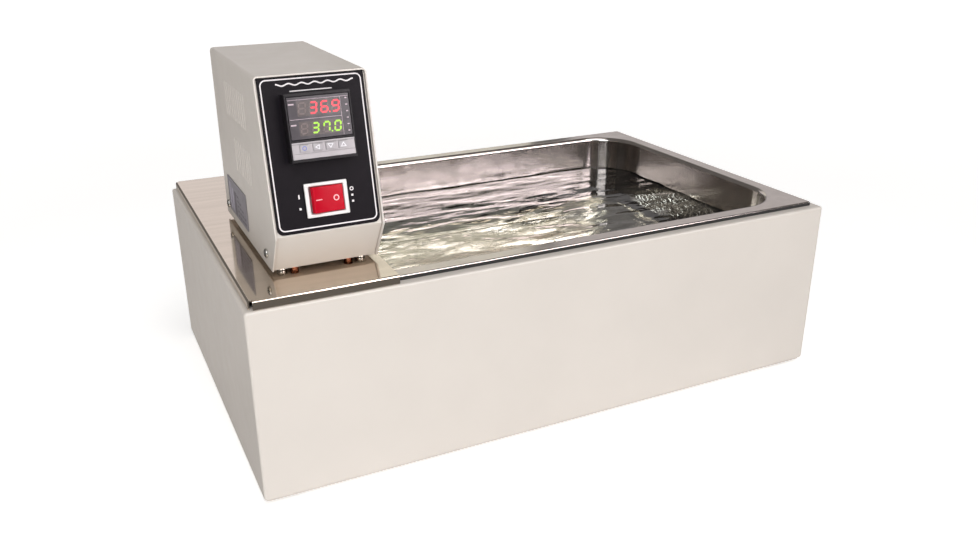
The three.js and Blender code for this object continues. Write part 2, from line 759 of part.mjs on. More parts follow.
// a dished cap over a narrow heel, seen from below and pulled up the slope
function switchRocker() {
  const half = rocker.width / 2;
  const crown = rocker.pivotDepth - switchFace + rocker.proud;
  const side = [[half, crown + rocker.dish], [half, 0.6], [half * 0.42, -3]];
  const mirrored = side.slice().reverse().map(([x, rise]) => [-x, rise]);
  const profile = [[0, crown], ...side, ...mirrored].map(([x, rise]) => [x, -rise]);
  return plateFrom(profile, -rocker.height / 2, rocker.height / 2);
}

place('switch_housing', switchHousing(), finishes.whitePlastic(), panel);
const rockerMesh = place('switch_rocker', switchRocker(), finishes.redPlastic(), panel);
rockerMesh.rotation.z = -rocker.lean * Math.PI / 180;
rockerMesh.position.set(0, rocker.pivotDepth, switchCentre);

// ---------------------------------------------------------------- heater, probe and stirrer

function heaterElement() {
  const left = headX - heaterLoop.spread / 2;
  const right = headX + heaterLoop.spread / 2;
  const front = frontRow;
  const back = frontRow + heaterLoop.reach;
  const top = headBottom + heaterLeg.inHead;
  const low = heaterLoop.depth;
  const r = heaterLoop.bend;
  const half = heaterLoop.spread / 2;
  const at = (x, y, z) => new THREE.Vector3(x, y, z);
  const path = new THREE.CurvePath();
  const line = (from, to) => path.add(new THREE.LineCurve3(from, to));
  const bend = (from, middle, to) => path.add(new THREE.QuadraticBezierCurve3(from, middle, to));
  line(at(left, front, top), at(left, front, low + r));
  bend(at(left, front, low + r), at(left, front, low), at(left, front + r, low));
  line(at(left, front + r, low), at(left, back - half, low));
  bend(at(left, back - half, low), at(left, back, low), at(headX, back, low));
  bend(at(headX, back, low), at(right, back, low), at(right, back - half, low));
  line(at(right, back - half, low), at(right, front + r, low));
  bend(at(right, front + r, low), at(right, front, low), at(right, front, low + r));
  line(at(right, front, low + r), at(right, front, top));
  const sides = 10;
  const section = new THREE.Shape(Array.from({ length: sides }, (_, side) => {
    const angle = side / sides * 2 * Math.PI;
    return new THREE.Vector2(Math.cos(angle), Math.sin(angle)).multiplyScalar(heaterLeg.diameter / 2);
  }));
  return new THREE.ExtrudeGeometry(section, { steps: 80, extrudePath: path });
}

place('heater_element', heaterElement(), finishes.copper());
for (const { name, x, y } of heaterSpots) {
  const top = deckUnder - gap;
  const bottom = top - heaterLeg.nutHeight;
  const hole = rod(heaterLeg.diameter + holeSlack, bottom - past, top + past, 0, 0, 14);
  const nut = cut(hexNut(heaterLeg.nut, bottom, top), hole);
  place(`heater_nut_${name}`, nut, finishes.brass()).position.set(x, y, 0);
}

const probeTop = headBottom + probe.head;
const probeShape = turned([
  [0, probe.depth],
  [probe.diameter * 0.3, probe.depth],
  [probe.diameter / 2, probe.depth + 1.5],
  [probe.diameter / 2, probeTop],
  [0, probeTop],
]);
place('temperature_probe', probeShape, finishes.stainless()).position.set(headX, probeY, 0);
const gland = cut(
  hexNut(probe.gland, deckTop + gap, headBottom - gap),
  rod(probe.diameter + holeSlack, deckTop, headBottom, 0, 0, 12),
);
place('probe_gland', gland, finishes.brass()).position.set(headX, probeY, 0);

const motorBottom = chassisFloorTop + gap;
const motor = { plate: 3, can: 40, canTop: motorBottom + 40, boss: 16, bossTop: motorBottom + 44 };
const shaftTop = motorBottom + 12;

function stirrerMotor() {
  const mounting = block([-25, -21, motorBottom], [25, 21, motorBottom + motor.plate]);
  const can = rod(motor.can, motorBottom + past, motor.canTop, 0, 0, 24);
  const boss = rod(motor.boss, motor.canTop - past, motor.bossTop, 0, 0, 16);
  const bore = rod(stirrer.shaft + holeSlack, motorBottom - past, shaftTop + past, 0, 0, 14);
  return cut(join(mounting, can, boss), bore);
}

function impeller() {
  const low = stirrer.depth + 2;
  const high = low + stirrer.hubHeight;
  const middle = (low + high) / 2;
  const { hub, sweep, vane, pitch } = stirrer;
  const blades = [];
  for (let blade = 0; blade < 4; blade += 1) {
    const root = [hub / 2 - 1.5, -vane.thick / 2, -vane.tall / 2];
    const paddle = block(root, [sweep / 2, vane.thick / 2, vane.tall / 2]);
    paddle.rotateX(pitch).translate(0, 0, middle).rotateZ(blade * Math.PI / 2);
    blades.push(paddle);
  }
  const bore = rod(stirrer.shaft + holeSlack, low - past, high + past, 0, 0, 14);
  return cut(join(rod(hub, low, high, 0, 0, 18), ...blades), bore);
}

place('stirrer_motor', stirrerMotor(), finishes.motorSteel()).position.set(headX, stirrerY, 0);
const shaft = rod(stirrer.shaft, stirrer.depth, shaftTop, 0, 0, 14);
place('stirrer_shaft', shaft, finishes.stainless()).position.set(headX, stirrerY, 0);
place('stirrer_impeller', impeller(), finishes.stainless()).position.set(headX, stirrerY, 0);

// ---------------------------------------------------------------- electrical parts in the head

function powerInlet() {
  const { x, z, width, height, flangeWidth, flangeHeight, wall, wellDepth } = inlet;
  const flange = rearBlock(x, z, flangeWidth, flangeHeight, rearFace, rearFace + 2);
  const body = rearBlock(x, z, width, height, rearInside - 20, rearFace + 1);
  const wellBottom = rearFace - wellDepth;
  const well = rearBlock(x, z, width - 2 * wall, height - 2 * wall, wellBottom, rearFace + 5);
  const pins = [[-7, -1.5], [0, 2.5], [7, -1.5]].map(([dx, dz]) =>
    rearBlock(x + dx, z + dz, 2, 4, wellBottom - past, rearFace - 2));
  return join(cut(join(flange, body), well), ...pins);
}

function fuseHolder() {
  const capTop = rearFace + fuse.capHeight;
  const cap = rodAlongY(fuse.cap, rearFace, capTop, fuse.x, fuse.z, 20);
  const body = rodAlongY(fuse.body, rearInside - 22, rearFace + past, fuse.x, fuse.z, 18);
  const slot = rearBlock(fuse.x, fuse.z, 10, 1.4, capTop - 1.2, capTop + past);
  return cut(join(cap, body), slot);
}

function relayBlock() {
  const back = rearInside - gap;
  const low = headBottom + 56;
  return block([headX - 36, back - 22, low], [headX + 9, back, low + 58]);
}

// a barrier strip: a long body with a ridge, grooved between its poles
function terminalBlock() {
  const low = chassisFloorTop + gap;
  const near = stirrerY + 27;
  const half = terminals.length / 2;
  const body = block([headX - half, near, low], [headX + half, near + 16, low + 9]);
  const ridge = block([headX - half, near + 5, low + 8], [headX + half, near + 11, low + 14]);
  const grooves = [];
  for (let pole = 1; pole < terminals.poles; pole += 1) {
    const x = headX - half + pole * terminals.length / terminals.poles;
    grooves.push(block([x - 0.5, near - past, low + 5], [x + 0.5, near + 16 + past, low + 14 + past]));
  }
  return cut(join(body, ridge), ...grooves);
}

place('power_inlet', powerInlet(), finishes.blackPlastic());
place('fuse_holder', fuseHolder(), finishes.blackPlastic());
place('heater_relay', relayBlock(), finishes.blackPlastic());
place('terminal_block', terminalBlock(), finishes.terminalPlastic());

export default bath;
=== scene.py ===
"""Looks of a laboratory water bath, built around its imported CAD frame.

Metres, +Z up, the origin on the table under the middle of the case, the front towards -Y.
Shapes are sized in millimetres, and MM turns them into metres; lights and camera are placed in metres.
"""

import json
import math

import bmesh
import bpy
from mathutils import Matrix, Vector, noise


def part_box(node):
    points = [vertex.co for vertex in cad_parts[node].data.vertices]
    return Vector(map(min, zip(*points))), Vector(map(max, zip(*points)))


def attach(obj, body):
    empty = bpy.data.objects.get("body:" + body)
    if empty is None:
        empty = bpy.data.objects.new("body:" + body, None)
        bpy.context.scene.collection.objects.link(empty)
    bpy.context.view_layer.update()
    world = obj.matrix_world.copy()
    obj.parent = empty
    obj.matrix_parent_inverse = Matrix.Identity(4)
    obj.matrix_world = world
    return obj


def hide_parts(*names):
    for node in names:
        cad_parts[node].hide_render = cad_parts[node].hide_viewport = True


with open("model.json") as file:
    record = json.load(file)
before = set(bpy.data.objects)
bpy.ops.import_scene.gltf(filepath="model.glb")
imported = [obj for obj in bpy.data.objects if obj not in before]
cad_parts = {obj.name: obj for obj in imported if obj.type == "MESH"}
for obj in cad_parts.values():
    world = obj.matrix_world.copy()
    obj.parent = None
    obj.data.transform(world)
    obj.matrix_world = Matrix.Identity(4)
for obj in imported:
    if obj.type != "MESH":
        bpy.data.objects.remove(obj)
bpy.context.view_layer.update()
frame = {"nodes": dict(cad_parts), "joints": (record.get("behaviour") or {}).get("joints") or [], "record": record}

MM = 0.001
record = frame["record"]
joints = {joint["name"]: joint for joint in frame["joints"]}
slot_of = {part["node"]: part["material_slot"] for part in record["subparts"]}
body_of = {node: body for body, nodes in record["behaviour"]["bodies"].items() for node in nodes}

# -------------------------------- sizes that the frame doesn't give

CORNERS = ("front_left", "front_right", "back_left", "back_right")
SHEET = 1.2
CASE = {"corner": 2.5, "bend": 2.2, "edge": 0.3, "top_flange": 17, "bottom_flange": 32}
PAN = {"sheet": 1.0, "band": 12, "roll": 4, "lean": 10, "corner": 50, "rim_corner": 2, "fold": 1.1}
PAN_FLOOR = {"radius": 18, "flat": 44}
LIP_OVER_CASE = 0.4                # from the case's top up to the lower edge of the rim's lip
LIP_SHADE_PROUD = 0.5                  # how far the black band of painted shade stands out from the rim's lip
WATER = {"under_rim": 36, "clearance": 0.3, "skirt": 1.5, "ripple": 1.05}
MENISCUS = {"rise": 1.1, "reach": 1.6}
SWELL = {"long": 58, "short": 16, "slant": 140, "shift": 0, "seed": 0.3}
CHOP = {"long": 22, "short": 7.5, "slant": -70, "shift": 5.1, "seed": 1.7, "share": 0.42}
WATER_MESH = {"along": 150, "beside": 80, "corner": 10, "sweep": 4, "rings": 84, "middle": 0.6}
DECK = {"notch": 3.0, "bend": 1.7, "inner_bend": 0.5, "skirt": 25, "spare": 12.0}
DECK_BORES = {"temperature_probe": 5.7, "stirrer_shaft": 12}
HEATER_LEG = {"diameter": 6.4, "play": 0.7}
STANDOFF = {"bore": 2.3, "edge": 0.4}
SCREWS = {
    "foot_screw_": {"head": 8, "height": 1.8, "thread": 3.6},
    "standoff_screw_": {"head": 7.6, "height": 2.4, "thread": 3.9},
    "shell_screw_": {"head": 7, "height": 2.2, "thread": 3.6},
}
PRINT = 0.06                       # thickness of printed marks
RATING_LABEL = {"margin": 0.8, "heading": 1.8, "column": 0.115, "word": 5.4, "line": 1.7, "pitch": 4.2}
LABEL = {"line": 0.9, "inset": 2.0, "corner": 4.4, "top_gap": 1.2, "low_gap": 0.4}
TITLE_WAVE = {"start": -26, "end": 31, "drop": 5.6, "rise": 0.7, "length": 9.5, "line": 1.0, "steps": 120}
TITLE_RULE = {"half": 15.5, "thick": 0.4, "x": -1, "drop": 10.4}
SWITCH_MARKS = {"on": -20.0, "off": 19.8}
DISPLAY_ROWS = ({"text": "369", "dot": 1, "up": 6.6, "tall": 8.6, "lit": "red"},
                {"text": "370", "dot": 1, "up": -7.5, "tall": 7.8, "lit": "green"})
DIGIT = {"first": -12.2, "pitch": 8.15, "slim": 0.68, "stroke": 1.2, "slant": 7, "dot": 1.1}
DISPLAY_HEIGHT = {"filter": 0.03, "line": 0.05, "unlit": 0.06, "lit": 0.09}
DISPLAY_LINES = {"upper": 12.6, "between": -0.9, "column": 15.85, "wide": 0.25, "tall": 0.28, "margin": 0.8}
LAMPS = {"count": 6, "x": 20.2, "first": 11.3, "pitch": 4.6}
KEY_STRIP = {"sunk": 0.45, "low_band": 3.6, "top_band": 1.1, "slope": 0.4, "slack": 0.06}
ROCKER = {"half": 11.8, "tall": 19.0, "crown": 4.9, "dish": 1.2, "heel": 3.0, "shoulder": 0.6, "edge": 1.1}
ROCKER_INK = {"sunk": 0.03, "proud": 0.05, "bar": -7.6, "ring": 6.2}
FLOOR = {"reach": 14, "glow": (0.42, 0.66), "glow_from": (0.8, 3.5)}
CAMERA = {"azimuth": 25.31, "elevation": 21.94, "roll": -0.46, "place": (-0.3705, -0.7588, 0.4296),
          "lens": 33.11, "sensor": 36, "shift": (0.0151, -0.0057)}

# -------------------------------- the tilted panel

pivot = Vector(joints["rocker_pivot"]["pos_m"])
slope_up = Vector(joints["rocker_pivot"]["axis"]).normalized()
inward = Vector(joints["key_set_press"]["axis"]).normalized()
across = inward.cross(slope_up)

# local X runs across the panel, Y up its slope and Z straight out of it; the origin is the rocker's pivot
panel = Matrix((across, slope_up, -inward)).transposed().to_4x4()
panel.translation = pivot


def panel_span(node):
    """Lowest and highest corner of a CAD node in the panel's own frame, in millimetres."""
    inverse = panel.inverted()
    points = [inverse @ vertex.co / MM for vertex in frame["nodes"][node].data.vertices]
    low = Vector(min(point[axis] for point in points) for axis in range(3))
    high = Vector(max(point[axis] for point in points) for axis in range(3))
    return low, high


# -------------------------------- materials

def srgb(red, green, blue):
    """A linear colour from screen values of 0 to 255."""
    def linear(value):
        share = value / 255
        return share / 12.92 if share <= 0.04045 else ((share + 0.055) / 1.055) ** 2.4
    return (linear(red), linear(green), linear(blue), 1.0)


def shader(name, color, roughness, metallic=0.0, **inputs):
    """A material with one Principled shader, and its node tree."""
    material = bpy.data.materials.new(name)
    material.use_nodes = True
    tree = material.node_tree
    surface = tree.nodes["Principled BSDF"]
    surface.inputs["Base Color"].default_value = color
    surface.inputs["Roughness"].default_value = roughness
    surface.inputs["Metallic"].default_value = metallic
    for key, value in inputs.items():
        surface.inputs[key.replace("_", " ")].default_value = value
    material.diffuse_color = color
    return material, tree, surface


def grain(tree, size, stretch=(1, 1, 1), detail=2.0):
    """Noise with features about size millimetres across, drawn out along the axes by stretch."""
    place = tree.nodes.new("ShaderNodeTexCoord")
    mapping = tree.nodes.new("ShaderNodeMapping")
    mapping.inputs["Scale"].default_value = [1 / (size * MM * share) for share in stretch]
    field = tree.nodes.new("ShaderNodeTexNoise")
    field.inputs["Scale"].default_value = 1.0
    field.inputs["Detail"].default_value = detail
    tree.links.new(place.outputs["Object"], mapping.inputs["Vector"])
    tree.links.new(mapping.outputs["Vector"], field.inputs["Vector"])
    return field.outputs["Fac"]


def spread(tree, field, low, high, start=0.3, end=0.7):
    """The field from start to end, which is a noise's usual range, stretched to run from low to high."""
    ranged = tree.nodes.new("ShaderNodeMapRange")
    for key, value in (("From Min", start), ("From Max", end), ("To Min", low), ("To Max", high)):
        ranged.inputs[key].default_value = value
    tree.links.new(field, ranged.inputs["Value"])
    return ranged.outputs["Result"]


def tinted(tree, surface, field, first, second):
    mix = tree.nodes.new("ShaderNodeMix")
    mix.data_type = "RGBA"
    mix.inputs["A"].default_value = first
    mix.inputs["B"].default_value = second
    tree.links.new(spread(tree, field, 0.0, 1.0), mix.inputs["Factor"])
    tree.links.new(mix.outputs["Result"], surface.inputs["Base Color"])


def bumped(tree, surface, *layers):
    """Layers of height, each a field and its depth in millimetres, from the coarsest to the finest."""
    normal = None
    for field, depth in layers:
        bump = tree.nodes.new("ShaderNodeBump")
        bump.inputs["Distance"].default_value = depth * MM
        tree.links.new(field, bump.inputs["Height"])
        if normal:
            tree.links.new(normal, bump.inputs["Normal"])
        normal = bump.outputs["Normal"]
    tree.links.new(normal, surface.inputs["Normal"])


def mixed_roughness(tree, surface, field, low, high):
    tree.links.new(spread(tree, field, low, high), surface.inputs["Roughness"])


def shade(color, share):
    return (*[channel * share for channel in color[:3]], 1.0)


def paint():
    """Baked enamel: faint orange peel, slightly wavy sheet, and a little uneven sheen."""
    color = srgb(216, 208, 200)
    material, tree, surface = shader("baked_enamel", color, 0.4, Coat_Weight=0.12, Coat_Roughness=0.2)
    patches = grain(tree, 70, detail=3)
    tinted(tree, surface, patches, shade(color, 0.975), shade(color, 1.01))
    mixed_roughness(tree, surface, grain(tree, 18, detail=4), 0.33, 0.47)
    bumped(tree, surface, (grain(tree, 110, detail=0), 0.35), (grain(tree, 1.3, detail=1), 0.006))
    return material


def steel(name, color, roughness, streaks, wave, drawn=0.0, drawn_below=0.0):
    """Stainless sheet: soft waves, streaks along the way it was worked, and smudges that dull it.

    Below the height drawn_below, in metres, drawing marks smear its reflections up and down.
    """
    material, tree, surface = shader(name, color, roughness[0], 1.0, Anisotropic_Rotation=0.25)
    tinted(tree, surface, grain(tree, 9, streaks, 3), shade(color, 0.93), shade(color, 1.03))
    mixed_roughness(tree, surface, grain(tree, 26, detail=3), *roughness)
    bumped(tree, surface, (grain(tree, 60, detail=0), wave), (grain(tree, 7, streaks, 1), wave * 0.04))
    tangent = tree.nodes.new("ShaderNodeTangent")
    tangent.direction_type = "RADIAL"
    tangent.axis = "Z"
    tree.links.new(tangent.outputs["Tangent"], surface.inputs["Tangent"])
    place = tree.nodes.new("ShaderNodeTexCoord")
    axes = tree.nodes.new("ShaderNodeSeparateXYZ")
    tree.links.new(place.outputs["Object"], axes.inputs["Vector"])
    smear = spread(tree, axes.outputs["Z"], drawn, 0, drawn_below, drawn_below + MM)
    tree.links.new(smear, surface.inputs["Anisotropic"])
    return material


def metal(name, color, low, high, size=4.0):
    """Turned or plated metal: fine marks and a slightly uneven tone."""
    material, tree, surface = shader(name, color, low, 1.0)
    tinted(tree, surface, grain(tree, size, detail=4), shade(color, 0.82), shade(color, 1.08))
    mixed_roughness(tree, surface, grain(tree, size / 2, detail=3), low, high)
    bumped(tree, surface, (grain(tree, 0.35, (1, 1, 8), 2), 0.004))
    return material


def plastic(name, color, low, high, texture=0.6, depth=0.008, **inputs):
    """Moulded plastic: spark-eroded grain and a little unevenness in gloss."""
    material, tree, surface = shader(name, color, low, 0.0, **inputs)
    tinted(tree, surface, grain(tree, 12, detail=3), shade(color, 0.93), shade(color, 1.04))
    mixed_roughness(tree, surface, grain(tree, 5, detail=4), low, high)
    bumped(tree, surface, (grain(tree, texture, detail=2), depth))
    return material


def wool():
    color = srgb(205, 186, 132)
    material, tree, surface = shader("mineral_wool", color, 0.95)
    tinted(tree, surface, grain(tree, 5, (3, 3, 1), 6), shade(color, 0.6), shade(color, 1.1))
    bumped(tree, surface, (grain(tree, 3, (4, 4, 1), 6), 1.2))
    return material


def glow(name, color, strength):
    """A lit display segment under its own soft diffuser."""
    material, tree, surface = shader(name, shade(color, 0.5), 0.35, Emission_Color=color)
    pulse = spread(tree, grain(tree, 1.2, detail=2), strength * 0.82, strength * 1.1)
    tree.links.new(pulse, surface.inputs["Emission Strength"])
    return material


def water():
    """Slightly cloudy water: it tints what is under it, and shadow rays go straight through."""
    tint = srgb(190, 189, 178)
    material, tree, surface = shader("water", tint, 0.0, Transmission_Weight=1.0, IOR=1.333)
    bumped(tree, surface, (grain(tree, 7, (3.2, 1, 1), 2), 0.35))
    path = tree.nodes.new("ShaderNodeLightPath")
    clear = tree.nodes.new("ShaderNodeBsdfTransparent")
    clear.inputs["Color"].default_value = srgb(236, 235, 228)
    mix = tree.nodes.new("ShaderNodeMixShader")
    output = tree.nodes["Material Output"]
    tree.links.new(path.outputs["Is Shadow Ray"], mix.inputs["Fac"])
    tree.links.new(surface.outputs["BSDF"], mix.inputs[1])
    tree.links.new(clear.outputs["BSDF"], mix.inputs[2])
    tree.links.new(mix.outputs["Shader"], output.inputs["Surface"])
    return material


STEEL = srgb(203, 195, 190)
RIM_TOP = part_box("bath_tank")[1].z
finishes = {
    "case_paint": paint(),
    "stainless": steel("drawn_steel", STEEL, (0.12, 0.2), (1, 1, 30), 0.08, 0.8, RIM_TOP - 5 * MM),
    "plated_steel": metal("zinc_plate", srgb(205, 203, 198), 0.18, 0.34),
    "copper": metal("copper_sheath", srgb(152, 96, 72), 0.16, 0.32, 9.0),
    "brass": metal("turned_brass", srgb(206, 172, 104), 0.2, 0.36),
    "rubber": plastic("moulded_rubber", srgb(38, 37, 36), 0.6, 0.85, 0.9, 0.02),
    "wool": wool(),
    "label": plastic("label_film", srgb(20, 16, 21), 0.4, 0.5, 0.5, 0.004, Specular_IOR_Level=0.12),
    "foil": plastic("printed_foil", srgb(158, 153, 160), 0.34, 0.46, 0.8, 0.004, Metallic=0.3),
    "black_plastic": plastic("black_plastic", srgb(25, 22, 25), 0.38, 0.52, Specular_IOR_Level=0.3),
    "display": plastic("tinted_window", srgb(48, 43, 48), 0.14, 0.22, 2.0, 0.0015, Specular_IOR_Level=0.3),
    "silver_plastic": plastic("silver_plastic", srgb(166, 161, 163), 0.3, 0.42, 0.4, 0.006, Metallic=0.2),
    "key_plastic": plastic("key_plastic", srgb(170, 165, 168), 0.35, 0.5, Metallic=0.1),
    "white_plastic": plastic("white_plastic", srgb(238, 234, 232), 0.16, 0.26, 1.5, 0.003),
    "red_plastic": plastic("red_plastic", srgb(184, 2, 30), 0.16, 0.24, 2.5, 0.003, Specular_IOR_Level=0.22,
                           Emission_Color=srgb(230, 20, 60), Emission_Strength=0.08),
    "motor_steel": metal("motor_can", srgb(142, 144, 147), 0.3, 0.5),
    "terminal_plastic": plastic("cream_plastic", srgb(203, 196, 168), 0.45, 0.65),
}
deck_steel = steel("polished_steel", srgb(222, 210, 196), (0.06, 0.13), (9, 1, 1), 0.02)
water_surface = water()
white_ink = plastic("white_ink", srgb(240, 233, 234), 0.4, 0.55)
grey_ink = plastic("grey_ink", srgb(226, 224, 228), 0.45, 0.6)
blue_ink = plastic("blue_ink", srgb(96, 112, 186), 0.45, 0.6)
pale_ink = plastic("pale_ink", srgb(196, 176, 184), 0.4, 0.5)
pink_ink = plastic("pink_ink", srgb(255, 190, 196), 0.3, 0.4, Emission_Color=srgb(255, 150, 160),
                   Emission_Strength=0.12)
dark_marks = plastic("dark_marks", srgb(116, 110, 118), 0.4, 0.5)
pale_marks = plastic("pale_marks", srgb(182, 175, 190), 0.35, 0.5)
smoke = plastic("smoked_filter", srgb(66, 56, 53), 0.2, 0.3)
lit = {
    "red": glow("red_segments", srgb(255, 62, 78), 1.1),
    "green": glow("green_segments", srgb(170, 232, 60), 0.8),
}
unlit = plastic("unlit_segments", srgb(104, 90, 88), 0.3, 0.42)

# -------------------------------- shapes

def filleted(points, radii, closed, steps=5):
    """The corners of a path turned into arcs; a radius of 0 leaves a corner sharp. Sizes in millimetres."""
    made = []
    count = len(points)
    for index, (point, radius) in enumerate(zip(points, radii)):
        ends = not closed and index in (0, count - 1)
        here = Vector(point)
        before = Vector(points[index - 1])
        after = Vector(points[(index + 1) % count])
        if ends or radius == 0:
            made.append(tuple(here))
            continue
        arriving = (here - before).normalized()
        leaving = (after - here).normalized()
        turn = arriving.angle(leaving)
        side = (leaving - arriving * arriving.dot(leaving)).normalized()
        start = here - arriving * radius * math.tan(turn / 2)
        for step in range(steps + 1):
            angle = turn * step / steps
            made.append(tuple(start + radius * (math.sin(angle) * arriving + (1 - math.cos(angle)) * side)))
    return made


def rounded_rectangle(half_x, half_y, radius, steps=8):
    points = []
    for quarter, (sign_x, sign_y) in enumerate(((1, 1), (-1, 1), (-1, -1), (1, -1))):
        for step in range(steps + 1):
            angle = (quarter + step / steps) * math.pi / 2
            points.append((sign_x * (half_x - radius) + radius * math.cos(angle),
                           sign_y * (half_y - radius) + radius * math.sin(angle)))
    return points


def skin(rings, looped):
    """A solid over rings of points, anticlockwise from above: up the outside, then back down inside."""
    count = len(rings[0])
    points = [point for ring in rings for point in ring]
    faces = []
    for band in range(len(rings) if looped else len(rings) - 1):
        here = band * count
        after = (band + 1) % len(rings) * count
        for step in range(count):
            turn = (step + 1) % count
            faces.append((here + step, here + turn, after + turn, after + step))
    if not looped:
        last = (len(rings) - 1) * count
        faces.append(tuple(reversed(range(count))))
        faces.append(tuple(range(last, last + count)))
    return points, faces


def lifted(outline, height):
    return [(x, y, height) for x, y in outline]


def plate(outline, low, high):
    """A flat outline, given anticlockwise, pulled up from low to high."""
    return skin([lifted(outline, low), lifted(outline, high)], False)


def hoop(outer, inner, low, high):
    """A flat ring between two outlines with the same number of points."""
    return skin([lifted(inner, low), lifted(outer, low), lifted(outer, high), lifted(inner, high)], True)


def circle(radius, x=0.0, y=0.0, steps=32):
    turns = [2 * math.pi * step / steps for step in range(steps)]
    return [(x + radius * math.cos(turn), y + radius * math.sin(turn)) for turn in turns]


def pill(half_x, half_y, radius, low, high):
    """A thin plate with rounded corners."""
    return plate(rounded_rectangle(half_x, half_y, radius, 3), low, high)


def block(low, high):
    outline = [(low[0], low[1]), (high[0], low[1]), (high[0], high[1]), (low[0], high[1])]
    return plate(outline, low[2], high[2])


def rod(diameter, low, high, x=0.0, y=0.0, steps=32):
    return plate(circle(diameter / 2, x, y, steps), low, high)


def turned(profile, steps=40):
    """A profile of (radius, height) from the bottom of the axis round to its top, spun about Z."""
    points = [(0, 0, profile[0][1])]
    rings = [(radius, height) for radius, height in profile if radius > 0]
    for radius, height in rings:
        points += lifted(circle(radius, steps=steps), height)
    points.append((0, 0, profile[-1][1]))
    faces = []
    for step in range(steps):
        turn = (step + 1) % steps
        faces.append((0, 1 + turn, 1 + step))
        for ring in range(len(rings) - 1):
            here = 1 + ring * steps
            after = here + steps
            faces.append((here + step, here + turn, after + turn, after + step))
        top = 1 + (len(rings) - 1) * steps
        faces.append((len(points) - 1, top + step, top + turn))
    return points, faces


def moved(solid, matrix):
    points, faces = solid
    return [tuple(matrix @ Vector(point)) for point in points], faces


def shifted(solid, x=0.0, y=0.0, z=0.0):
    return moved(solid, Matrix.Translation((x, y, z)))


def together(solids):
    points, faces = [], []
    for more_points, more_faces in solids:
        start = len(points)
        points += more_points
        faces += [tuple(start + index for index in face) for face in more_faces]
    return points, faces


def mesh_of(name, solid, place=None):
    """A mesh in metres from a solid in millimetres, moved by place, which is in metres."""
    points, faces = solid
    mesh = bpy.data.meshes.new(name)
    mesh.from_pydata([Vector(point) * MM for point in points], [], faces)
    if place is not None:
        mesh.transform(place)
    mesh.validate()
    mesh.update()
    return mesh


def carved(mesh, cutters, place=None):
    """The mesh with the cutting solids taken away."""
    whole = bpy.data.objects.new("whole", mesh)
    tool = bpy.data.objects.new("tool", mesh_of("tool", together(cutters), place))
    for item in (whole, tool):
        bpy.context.scene.collection.objects.link(item)
    modifier = whole.modifiers.new("cut", "BOOLEAN")
    modifier.operation = "DIFFERENCE"
    modifier.solver = "EXACT"
    modifier.object = tool
    bpy.context.view_layer.update()
    result = bpy.data.meshes.new_from_object(whole.evaluated_get(bpy.context.evaluated_depsgraph_get()))
    for item in (whole, tool):
        bpy.data.objects.remove(item)
    return result


def eased(mesh, width, segments=2, sharper_than=35, flat_under=1.0):
    """The mesh with flat faces joined and its sharp edges rounded by width millimetres."""
    shape = bmesh.new()
    shape.from_mesh(mesh)
    bmesh.ops.remove_doubles(shape, verts=shape.verts, dist=0.002 * MM)
    bmesh.ops.dissolve_limit(shape, angle_limit=math.radians(flat_under), verts=shape.verts,
                             edges=shape.edges)
    limit = math.radians(sharper_than)
    edges = [edge for edge in shape.edges if len(edge.link_faces) == 2 and edge.calc_face_angle() > limit]
    bmesh.ops.bevel(shape, geom=edges, offset=width * MM, segments=segments, profile=0.5,
                    affect="EDGES", clamp_overlap=True)
    shape.to_mesh(mesh)
    shape.free()
    return mesh


def show(name, mesh, material, body, stands_for=(), smooth_under=38, slot=None):
    """Puts a finished mesh in the scene, riding on its body."""
    piece = bpy.data.objects.new(name, mesh)
    bpy.context.scene.collection.objects.link(piece)
    mesh.materials.clear()
    mesh.materials.append(material)
    mesh.shade_smooth()
    mesh.set_sharp_from_angle(angle=math.radians(smooth_under))
    weighted = piece.modifiers.new("even_normals", "WEIGHTED_NORMAL")
    weighted.keep_sharp = True
    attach(piece, body)
    if stands_for:
        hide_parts(*stands_for)
    return piece


def stand_in(node, mesh, material=None, **options):
    """A finished mesh shown in place of one CAD node."""
    slot = slot_of[node]
    return show(f"{node}_finished", mesh, material or finishes[slot], body_of[node], (node,), slot=slot,
                **options)


def soften(node, width, segments=2, sharper_than=40):
    """Shows a CAD node's own shape with its sharp edges rounded."""
    stand_in(node, eased(frame["nodes"][node].data.copy(), width, segments, sharper_than))


# -------------------------------- case, base and feet

def sides_of(node):
    """Half length, half width, lowest and highest height of a node that is centred on the origin."""
    low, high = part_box(node)
    return high.x / MM, high.y / MM, low.z / MM, high.z / MM


def make_case():
    half_x, half_y, bottom, top = sides_of("outer_case")
    bend, edge = CASE["bend"], CASE["edge"]
    inner_bend = bend - SHEET
    corners = [
        ((CASE["bottom_flange"], bottom), edge), ((0, bottom), bend), ((0, top), bend),
        ((CASE["top_flange"], top), edge), ((CASE["top_flange"], top - SHEET), edge),
        ((SHEET, top - SHEET), inner_bend), ((SHEET, bottom + SHEET), inner_bend),
        ((CASE["bottom_flange"], bottom + SHEET), edge),
    ]
    profile = filleted([point for point, _ in corners], [radius for _, radius in corners], True)
    rings = []
    for inset, height in profile:
        radius = max(CASE["corner"] - inset, edge)
        rings.append(lifted(rounded_rectangle(half_x - inset, half_y - inset, radius, 6), height))
    stand_in("outer_case", mesh_of("outer_case", skin(rings, True)))
    soften("base_panel", 0.3, sharper_than=35)
    for corner in CORNERS:
        soften(f"foot_{corner}", 0.35, 3)


# -------------------------------- pan and water

def pan_ring(inset, height, steps=18):
    """The pan's outline at an inset from the rim's edge: its corners grow round as it leaves the rim."""
    half_x, half_y, _, _ = sides_of("bath_tank")
    if inset >= PAN["band"]:
        radius = PAN["corner"] + PAN["band"] - inset
    else:
        edge = min(inset / PAN["sheet"], 1.0)
        radius = PAN["rim_corner"] - edge
    return lifted(rounded_rectangle(half_x - inset, half_y - inset, radius, steps), height)


